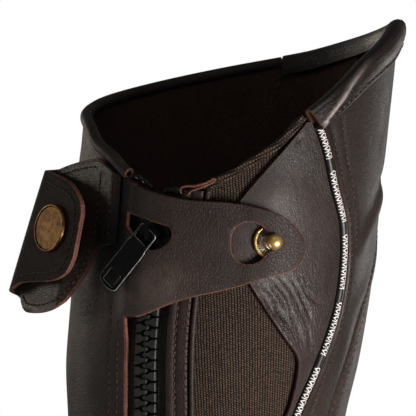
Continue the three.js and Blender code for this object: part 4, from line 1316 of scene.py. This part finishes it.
def rolledEdge(name, route, lift, radius, hollow):
    # Leather rolled into a tube, with its ends left as raw rings.
    sides = 18
    outer, quads, numbers = roundCord(route, lift, radius, sides)[1:]
    inner = roundCord(route, lift, hollow, sides)[1].reshape(-1, 3)
    outer = outer.reshape(-1, 3)
    count = len(outer)
    faces = quads[:, ::-1].tolist() + (quads + count).tolist()
    looks = [0] * len(quads) + [2] * len(quads)
    for row, flip in ((numbers[0], False), (numbers[-1], True)):
        after = np.roll(row, -1)
        ends = np.stack([row, after, after + count, row + count], -1)
        faces += (ends[:, ::-1] if flip else ends).tolist()
        looks += [1] * sides
    return makePiece(name, np.vstack([outer, inner]), faces, [leather, rawEdge, flesh], looks, sharp=50)


rollAngles = np.linspace(-169.4, -15.5, 130)
rollRoute = np.stack([rollAngles, topAt(rollAngles) - rollRadius], -1)
rollCloth = rolledEdge("collarRoll", rollRoute, 2.1, rollRadius, 0.95)
standFor("collar_roll")
seamUp = collar["seam"] * collarWidths
seamPath, seamAbove = (
    sweptPoints(collarRoute, np.stack([seamUp, seamUp * 0 + lift], -1))[6:, 0] for lift in (4.95, 5.95))
stitchPath("collarStitches", seamPath, (seamAbove - seamPath) * toMm, length=1.7, width=0.6,
           thread=darkThread)
print("collar and rolled edge done")


# Zip strip, welt and tapes
zipStrip = {
    "top": 389.5,
    "arc": [8.0, 8.25, 8.9, 9.8, 10.6, 11.2, 11.8, 12.6, 13.6, 14.6, 15.1, 15.4],
    "rise": [-0.75, -0.1, 0.22, 0.25, 0.0, -0.4, -0.05, 0.08, 0.02, 0.08, -0.02, -0.25],
    "seamArcs": (11.2, 14.8),
    "seamTop": 386.0,
}
zipWelt = {"arc": 17, "lift": 2.5, "radius": 0.9}


def stripPoints(lift):
    arc, rise = np.array(zipStrip["arc"])[None], np.array(zipStrip["rise"])[None]
    height = heightsUp(0.0, zipStrip["top"], 0.9)[:, None] + 0 * arc
    return onLeg(besideZip(height, arc), height, lift + rise + 0 * height)


stripCloth = gridWall("zipStrip", stripPoints(3.1), stripPoints(1.5), [leather, darkEdge, flesh], bulge=0.08)
standFor("zip_strip")
stripSeam, weltSeam = (zipSeam(arc, high=zipStrip["seamTop"]) for arc in zipStrip["seamArcs"])
stitchRow("zipStripStitches", stripSeam, evenly(2.85))
stitchRow("zipWeltStitches", weltSeam, evenly(3.1), length=1.9, width=0.42, skew=0.9)
weltRoute = upLine(lambda height: besideZip(height, zipWelt["arc"]), 0.4, zipStrip["top"], 0.9)
weltCord = cordPiece("zipWelt", weltRoute, zipWelt["lift"], zipWelt["radius"], leather, sides=12)
standFor("zip_welt")


# Each row of teeth moves out from the zip's line towards the top, above the slider.
chainPath = {"height": [0, 366, 370, 376, 391], "arc": [2.2, 2.2, 2.4, 3.5, 6]}
chainSide = 1.95


def chainArcAt(height):
    return readTable(chainPath, "height", height, "arc")


def tapePiece(name, side, outerArc):
    heights = heightsUp(0.0, 388.0, 2.0)[:, None]
    near = chainArcAt(heights) + chainSide + 0.3
    arc = (near + (outerArc - near) * np.linspace(0, 1, 7)[None])[:, ::side]
    height = heights + 0 * arc
    angle = besideZip(height, side * arc)
    flat = np.stack([side * arc, height], -1)
    return gridWall(name, onLeg(angle, height, 0.7), onLeg(angle, height, 0.0), [tapeWeave] * 3, flat, 0.05)


tapeLeft = tapePiece("zipTapeLeft", -1, 13.0)
tapeRight = tapePiece("zipTapeRight", 1, 9.7)
for tape, node in ((tapeLeft, "zip_tape_left"), (tapeRight, "zip_tape_right")):
    standFor(node)
print("zip strip and tapes done")


# Zip teeth
# Levels are (lift, size): a tooth is a little smaller at its foot and its top.
zipTeeth = {
    "pitch": 3.75,
    "levels": [(-0.5, 0.9), (0.3, 1.0), (2.05, 1.0), (2.35, 0.86)],
    "first": 8.5,
    "last": 389.0,
}
toothOutline = [(4.15, -1.55), (4.15, 1.55), (2.5, 1.55), (1.5, 0.95), (0.95, 0.62), (0.45, 0.8),
                (-0.1, 0.84), (-0.6, 0.66), (-0.85, 0.3), (-0.85, -0.3), (-0.6, -0.66), (-0.1, -0.84),
                (0.45, -0.8), (0.95, -0.62), (1.5, -0.95), (2.5, -1.55)]


def toothChain(name, side, node):
    # One tooth's outline at each level, repeated up the tape.
    outline, middle = np.array(toothOutline), np.array([1.9, 0])
    count, pitch, levels = len(outline), zipTeeth["pitch"], zipTeeth["levels"]
    points, faces = [], []
    for height in np.arange(zipTeeth["first"] + (pitch / 2 if side > 0 else 0), zipTeeth["last"], pitch):
        shift = chainArcAt(height) - chainPath["arc"][0]
        rings, walls = ringQuads(len(levels), count)
        start = len(points) * count
        made = (walls + start).tolist()
        made += [(rings[0][::-1] + start).tolist(), (rings[-1] + start).tolist()]
        faces += made if side > 0 else [face[::-1] for face in made]
        for lift, size in levels:
            spots = middle + (outline - middle) * size
            up = height + spots[:, 1]
            points.append(onLeg(besideZip(up, side * (spots[:, 0] + shift)), up, lift))
    chain = makePiece(name, np.vstack(points), faces, [zipPlastic], [0] * len(faces), sharp=30)
    standFor(node)


toothChain("zipTeethLeft", -1, "zip_chain_left")
toothChain("zipTeethRight", 1, "zip_chain_right")
print("zip teeth done")


# Snap tab
# It is sewn down at its root, goes flat across to a fold and comes back as a flap. Shares are of the way
# from the root to the fold.
snap = {
    "rootAngle": -26,
    "thickness": 1.8,
    "lift": 4.2,
    "foldRadius": 2.6,
    "foldAtTop": 26,
    "foldSlant": 0.19,
    "topHeight": 397,
    "leanHeight": 400,
    "lean": 0.148,
    "leanReach": 12,
    "rows": 34,
}
snapRoot = {"angle": [-22, -18], "low": [371, 371.5], "high": [396.9, 394.6]}
snapBack = {
    "share": [0.02, 0.13, 0.24, 0.32, 0.54, 0.8, 0.92, 1],
    "low": [370.5, 361.6, 354.3, 350.2, 347.4, 347.0, 348.6, 351.8],
    "high": [399.1, 400.4, 400.8, 400.6, 399.9, 398.6, 397.8, 397.2],
}
snapFlap = {
    "share": [0.02, 0.07, 0.16, 0.28, 0.45, 0.65, 0.9, 1],
    "low": [367, 362.6, 360.2, 358.9, 358.2, 358, 357.4, 355.6],
    "high": [381.5, 385.2, 387.6, 390.2, 392.7, 394.4, 396, 396.6],
}
rootTurn = math.radians(snap["rootAngle"])
snapAcross = np.array([math.cos(rootTurn), math.sin(rootTurn), 0])
snapOutward = np.array([-math.sin(rootTurn), math.cos(rootTurn), 0])


def foldReach(height):
    return snap["foldAtTop"] + (snap["topHeight"] - height) * snap["foldSlant"]


def snapPlace(reach, height, out):
    leanShare = np.where(out > snap["foldRadius"], 1, np.clip(reach / snap["leanReach"], 0, 1))
    lean = (snap["leanHeight"] - height) * snap["lean"] * leanShare
    base = onLeg(np.full(len(height), snap["rootAngle"]), height, snap["lift"])
    return base + (np.outer(reach, snapAcross) + np.outer(out + lean, snapOutward)) * toMetres


def tabRow(table, key, place):
    low, high = (readTable(table, key, place, column) for column in ("low", "high"))
    return np.linspace(low, high, snap["rows"])


def snapColumns():
    # The tab's outer and inner points, a row at a time from the sewn root round the fold to the flap's end.
    rows, half = snap["rows"], snap["thickness"] / 2
    outer, inner = [], []

    def put(middle, face):
        outer.append(middle + face * half * toMetres)
        inner.append(middle - face * half * toMetres)

    for angle in (-18, -19, -20, -21, -22):
        height = tabRow(snapRoot, "angle", angle)
        skived = half * (0.25 + 0.75 * smoothStep(angle, -18, -20.5)) if angle > -20.5 else half
        outer.append(onLeg(angle, height, snap["lift"] - half + 2 * skived))
        inner.append(onLeg(angle, height, snap["lift"] - half))
    for share in np.linspace(0.02, 1, 26):
        height = tabRow(snapBack, "share", share)
        put(snapPlace(share * foldReach(height), height, np.zeros(rows)), snapOutward)
    for turn in np.linspace(15, 165, 11):
        share = turn / 180
        low = snapBack["low"][-1] * (1 - share) + snapFlap["low"][-1] * share
        high = snapBack["high"][-1] * (1 - share) + snapFlap["high"][-1] * share
        height = np.linspace(low, high, rows)
        turnBy = math.radians(turn)
        reach = foldReach(height) + snap["foldRadius"] * math.sin(turnBy)
        out = np.full(rows, snap["foldRadius"] * (1 - math.cos(turnBy)))
        put(snapPlace(reach, height, out), snapOutward * math.cos(turnBy) - snapAcross * math.sin(turnBy))
    for share in np.linspace(1, 0.02, 30):
        height = tabRow(snapFlap, "share", share)
        put(snapPlace(share * foldReach(height), height, np.full(rows, 2 * snap["foldRadius"])), -snapOutward)
    return np.array(outer), np.array(inner)


def tabEdgeLook(flat):
    # Face leather at the root, a dark edge low on the back layer, a raw edge everywhere else.
    return np.where(flat[:, 0] < 5.2, 0, np.where((flat[:, 0] < 20) & (flat[:, 1] < 45), 3, 1))


snapOuter, snapInner = snapColumns()
snapLength = np.r_[0, np.cumsum(np.linalg.norm(np.diff(snapOuter.mean(1), axis=0), axis=1) * toMm)]
snapFlat = np.stack(np.broadcast_arrays(snapLength[:, None], snapOuter[..., 2] * toMm), -1)
snapOuter, snapInner, snapFlat = (rows[::-1].transpose(1, 0, 2) for rows in (snapOuter, snapInner, snapFlat))
snapCloth = gridWall("snapTab", snapOuter, snapInner, [tabLeather, rawEdge, mattLeather, darkEdge], snapFlat,
                     0.26, 2, tabEdgeLook)
standFor("snap_tab")


def snapStitches(name, places, out):
    # places are (share of the way to the fold, height) on one layer of the tab.
    line = resample(np.array(places) * (30, 1), 1.0) / (30, 1)
    path = snapPlace(line[:, 0] * foldReach(line[:, 1]), line[:, 1], np.full(len(line), out + 0.02))
    path += snapOutward * (snap["thickness"] / 2 + 0.05) * toMetres
    stitchPath(name, path, np.broadcast_to(snapOutward, path.shape), pitch=2.5, length=1.7, width=0.4)


def besideTabEdge(table, edge, shares, inset):
    return [(share, float(readTable(table, "share", share, edge)) + inset) for share in shares]


flapShares, backShares = np.array([0.97, 0.8, 0.62, 0.45, 0.32, 0.22]), np.linspace(0.16, 0.99, 16)
snapStitches("snapFlapStitches", [
    *besideTabEdge(snapFlap, "low", flapShares, 2.9), (0.14, 365.5), (0.115, 370), (0.11, 376), (0.14, 381),
    *besideTabEdge(snapFlap, "high", flapShares[::-1], -3.2),
], 2 * snap["foldRadius"])
snapStitches("snapBackStitches_low", [(0.1, 370), *besideTabEdge(snapBack, "low", backShares, 2.6)], 0.0)
snapStitches("snapBackStitches_high", besideTabEdge(snapBack, "high", backShares[::-1], -2.6), 0.0)
snapStitches("snapRootStitches_far", [(0.05, 374), (0.05, 385), (0.05, 396)], 0.0)
stitchRow("snapRootStitches_near", [(-20.6, 373.5), (-20.6, 384), (-20.6, 394)], evenly(5.15))
print("snap tab done")


# Hard pieces
def standOn(angle, height, lift):
    turn = math.radians(float(angle))
    outward = Vector((-math.sin(turn), math.cos(turn), 0))
    up = Vector((0, 0, 1))
    place = Matrix((up.cross(outward), up, outward)).transposed().to_4x4()
    place.translation = Vector(onLeg(float(angle), float(height), lift))
    return place @ Matrix.Scale(toMetres, 4)


def turnedPiece(name, profile, place, looks, sides, bands, shape=None, capLook=0):
    # Solid turned about its own axis. profile is (radius, rise) points from the middle out and up.
    # bands are the looks between one profile point and the next.
    turn = np.linspace(0, math.tau, sides, endpoint=False)
    points = np.vstack([
        np.stack([radius * np.cos(turn), radius * np.sin(turn), np.full(sides, rise)], -1)
        for radius, rise in profile
    ])
    numbers, quads = ringQuads(len(profile), sides)
    faces = quads.tolist() + [numbers[0][::-1].tolist(), numbers[-1].tolist()]
    faceLooks = np.repeat(bands, sides).tolist() + [0, capLook]
    points = points if shape is None else shape(points)
    moved = points @ np.array(place.to_3x3()).T + np.array(place.translation)
    return makePiece(name, moved, faces, looks, faceLooks, sharp=32)


studPlace = standOn(stud["angle"], stud["height"], stud["lift"])


def knurl(points, count, low, high, depth):
    # Radial ridges on the ring between two radii.
    radius = np.hypot(points[:, 0], points[:, 1])
    turn = np.arctan2(points[:, 1], points[:, 0])
    wave = np.cos(turn * count)
    points[:, 2] += depth * wave * smoothStep(radius, low, low + 0.3) * smoothStep(-radius, -high, 0.3 - high)
    return points


studBall = turnedPiece("ballStud", [
    (5.0, 0), (6.0, 0.05), (6.05, 0.5), (5.95, 1.0), (5.6, 1.25), (5.2, 1.2), (5.0, 1.0), (4.4, 1.15),
    (3.6, 1.3), (2.8, 1.5), (2.5, 1.7), (1.8, 1.75), (1.3, 2.0), (1.15, 3.2), (1.5, 3.45), (2.1, 3.7),
    (2.5, 4.15), (2.74, 4.8), (2.76, 5.4), (2.6, 6.1), (2.3, 6.65), (1.8, 7.15), (1.25, 7.45), (0.6, 7.62),
    (0.05, 7.68),
], studPlace, [brass, knurledBrass], sides=180, bands=[0] * 6 + [1] * 8 + [0] * 10,
    shape=lambda points: knurl(points, 36, 2.6, 5.1, 0.22))
standFor("ball_stud")

capHeight, capReach = 376.6, 16.2
capRise = 2 * snap["foldRadius"] + 1.1
capMiddle = snapPlace(np.array([capReach]), np.array([capHeight]), np.array([capRise]))[0]
capOut = Vector(snapOutward + (0, 0, snap["lean"])).normalized()
capSide = Vector(snapAcross).normalized()
capPlace = Matrix((capSide, capOut.cross(capSide), capOut)).transposed().to_4x4()
capPlace.translation = Vector(capMiddle)
capPlace = capPlace @ Matrix.Scale(toMetres, 4)
snapCap = turnedPiece("snapCap", [
    (7.6, -0.2), (8.4, 0), (8.6, 0.4), (8.55, 0.9), (8.35, 1.3), (8.1, 1.45), (7.85, 1.4), (7.7, 1.18),
    (7.5, 1.08), (6.6, 1.14), (5.4, 1.24), (4.0, 1.34), (2.0, 1.42), (0.05, 1.45),
], capPlace, [agedBrass, agedDark, agedFace], sides=72, bands=[0] * 6 + [1] * 2 + [2] * 5, capLook=2)
standFor("snap_cap")

# The pull tab is a bevelled plate with an eye for the slider's bridge and a grip hole.
tab = {"width": 8.4, "length": 26.2, "thickness": 1.6, "neckWidth": 7.7, "neck": 6.5, "lean": 43, "dip": 3.5,
       "bevel": 0.24, "pivotY": -0.6, "pivotZ": 7.45}
tabHalf, neckHalf, tabFoot = tab["width"] / 2, tab["neckWidth"] / 2, -tab["length"]
tabEnd = bezier((-tabHalf, tabFoot + 2.2), (-tabHalf + 0.4, tabFoot - 0.6), (tabHalf - 0.4, tabFoot - 0.6),
                (tabHalf, tabFoot + 2.2), 18)
tabOutline = resample(np.array([
    (-neckHalf + 0.7, 0.8), (-neckHalf, 0.1), (-neckHalf, -tab["neck"]), (-tabHalf, -tab["neck"] - 0.8),
    *tabEnd, (tabHalf, -tab["neck"] - 0.8), (neckHalf, -tab["neck"]), (neckHalf, 0.1),
    (neckHalf - 0.7, 0.8), (-neckHalf + 0.7, 0.8)
]), 0.5)[:-1]


def plateHole(half, low, high):
    corners = [(-half, low), (half, low), (half, high), (-half, high), (-half, low)]
    return resample(np.array(corners, float), 0.5)[:-1]


sliderHeight = 376.3
sliderFrame = standOn(besideZip(sliderHeight, 0), sliderHeight, 0)
tabPlace = (sliderFrame @ Matrix.Translation((0, tab["pivotY"], tab["pivotZ"]))
            @ Matrix.Rotation(math.radians(-tab["lean"]), 4, "Z")
            @ Matrix.Rotation(math.radians(tab["dip"]), 4, "X"))


def tabBevelLook(flat):
    # The outline's bevel is painted pale, a painted highlight; the holes' bevels are painted a duller grey, a
    # fainter painted highlight.
    return np.where((np.abs(flat[:, 0]) > 3.1) | (flat[:, 1] < tabFoot + 1.5), 1, 3)


pullTab = platePiece("pullTab", tabOutline, [plateHole(2.95, -4.7, -0.8), plateHole(2.3, -24.4, -19.4)],
                     tab["thickness"], tab["bevel"], tabPlace, [zipMetal, bevelShine, zipMetal, bevelDull],
                     tabBevelLook, "pull_tab")
standFor("pull_tab")


def lumpyCord(name, route, lift, radius, look, lumps, node, sides=14):
    # A short cord end whose thickness swells and shrinks along its length, closed at both ends.
    route = smoothLine(route, 0.25)
    t = np.linspace(0, 1, len(route))
    taper = np.sqrt(np.clip(np.sin(np.pi * np.clip(t, 0.01, 0.99)), 0, 1)) ** 0.35
    swell = (0.82 + 0.18 * np.cos(t * lumps * math.tau)) * taper
    ring, quads, numbers = roundCord(route, lift, radius, sides, swell)[1:]
    faces = quads[:, ::-1].tolist() + [numbers[0].tolist(), numbers[-1][::-1].tolist()]
    piece = makePiece(name, ring.reshape(-1, 3), faces, [look], [0] * len(faces), sharp=60)
    if node:
        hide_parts(node)


lumpyCord("zipTopLoopLeft", [(-13, 394.6), (-9.5, 393.9), (-6.5, 392.4), (-3.4, 390.6)], 2.6, 1.25,
          zipMetal, 3, "zip_top_loop_left")
lumpyCord("zipTopLoopRight", [(1.8, 389.4), (4.4, 389.6), (7.4, 389.4), (10.8, 388.8)], 2.4, 1.4, zipMetal, 2,
          "zip_top_loop_right")
lumpyCord("zipTopFold", [
    (8.6, 388.6), (8.2, 390.4), (10, 391.2), (13.6, 391.3), (17.8, 392.4), (20.2, 393.8), (19.9, 392.6),
    (16, 390.8), (12.4, 389.6), (10.8, 388.0),
], 3.4, 0.46, rawEdge, 0, None, 8)

for node, look in (("zip_slider", zipMetal), ("zip_bottom_stop", zipPlastic), ("snap_socket", agedBrass)):
    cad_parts[node].data.materials.clear()
    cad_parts[node].data.materials.append(look)
print("hard pieces done")


# A cut narrower than 10 mm is given as 10 mm. The patch is 43 mm wide at its widest; its width here
# is the greatest that a sheet of so small an area may have.
print("sheets declared")


# Floor, light and camera
def areaLight(name, direction, distance, size, power, colour):
    lamp = bpy.data.lights.new(name, "AREA")
    lamp.shape, lamp.size, lamp.energy, lamp.color = "DISK", size, power, colour
    holder = bpy.data.objects.new(name, lamp)
    scene.collection.objects.link(holder)
    aim = Vector((0, 0, 0.05))
    holder.location = aim + direction.normalized() * distance
    holder.rotation_euler = (aim - holder.location).to_track_quat("-Z", "Y").to_euler()


# Metres, and degrees round the upright axis. back, right and up are directions as the camera has them.
camera = {
    "azimuth": 206,
    "distance": 1.6,
    "frameWidth": 0.1485,
    "sensor": 36,
    "aimRight": -0.0019,
    "aimUp": 0.0537,
}
viewTurn = math.radians(camera["azimuth"])
back = Vector((math.sin(viewTurn), -math.cos(viewTurn), 0))
right = Vector((math.cos(viewTurn), math.sin(viewTurn), 0))
up = Vector((0, 0, 1))
cameraData = bpy.data.cameras.new("camera")
cameraData.sensor_width = camera["sensor"]
cameraData.lens = camera["sensor"] * camera["distance"] / camera["frameWidth"]
cameraData.clip_start, cameraData.clip_end = 0.1, 20
cameraObject = bpy.data.objects.new("camera", cameraData)
scene.collection.objects.link(cameraObject)
aim = right * camera["aimRight"] + up * camera["aimUp"]
cameraObject.location = aim + back * camera["distance"]
cameraObject.rotation_euler = (-back).to_track_quat("-Z", "Y").to_euler()
scene.camera = cameraObject

# The floor glows a little so that it stays pale from every side. It doesn't light the leather.
floor = {"half": 3, "height": -0.343, "glow": 0.75}
floorMesh = bpy.data.meshes.new("floor")
floorSigns = ((-1, -1), (1, -1), (1, 1), (-1, 1))
floorCorners = [(x * floor["half"], y * floor["half"], floor["height"]) for x, y in floorSigns]
floorMesh.from_pydata(floorCorners, [], [(0, 1, 2, 3)])
floorObject = bpy.data.objects.new("floor", floorMesh)
floorPaint = Paint("paleFloor", Roughness=0.8)
floorPaint.set("Base Color", floorPaint.mix(floorPaint.noise(3, 2), rgb(236, 236, 234), rgb(242, 242, 240)))
glow = floorPaint.mix(floorPaint.noise(3, 2), rgb(232, 232, 230), rgb(240, 240, 238))
floorPaint.set("Emission Color", glow)
floorPaint.shader.inputs["Emission Strength"].default_value = floor["glow"]
floorObject.visible_diffuse = floorObject.visible_glossy = False
floorMesh.materials.append(floorPaint.material)
scene.collection.objects.link(floorObject)

areaLight("keyLight", back * 0.74 + right * 0.68 - up * 0.42, 0.55, 0.24, 3.5, (1, 0.94, 0.9))
areaLight("topLight", back * 0.75 + right * 0.1 + up * 0.8, 1.1, 0.3, 0.6, (1, 0.96, 0.92))
areaLight("rightRim", right * 0.66 - back * 0.8 - up * 0.12, 1.1, 0.35, 1.6, (1, 0.98, 0.93))
areaLight("leftRim", -back * 0.8 - right * 0.66 + up * 0.2, 1.2, 0.35, 2.1, (1, 0.88, 0.76))
areaLight("leftFill", -back * 0.2 - right * 0.97 + up * 0.12, 1.2, 0.4, 1.8, (1, 0.88, 0.76))
areaLight("lowFill", back * 0.1 - right * 0.75 - up * 0.75, 0.6, 0.3, 0.7, (1, 0.94, 0.88))
# The camera sees the world white, while its light on the leather stays low.
worldStrength = {"onLeather": 0.09, "seen": 1.0}
world = bpy.data.worlds.new("studio")
world.use_nodes = True
background = world.node_tree.nodes["Background"]
background.inputs["Color"].default_value = (1, 1, 1, 1)
seen = world.node_tree.nodes.new("ShaderNodeLightPath")
strength = world.node_tree.nodes.new("ShaderNodeMapRange")
strength.inputs["To Min"].default_value = worldStrength["onLeather"]
strength.inputs["To Max"].default_value = worldStrength["seen"]
world.node_tree.links.new(seen.outputs["Is Camera Ray"], strength.inputs["Value"])
world.node_tree.links.new(strength.outputs["Result"], background.inputs["Strength"])
scene.world = world
scene.view_settings.view_transform = "Standard"

print("scene done")
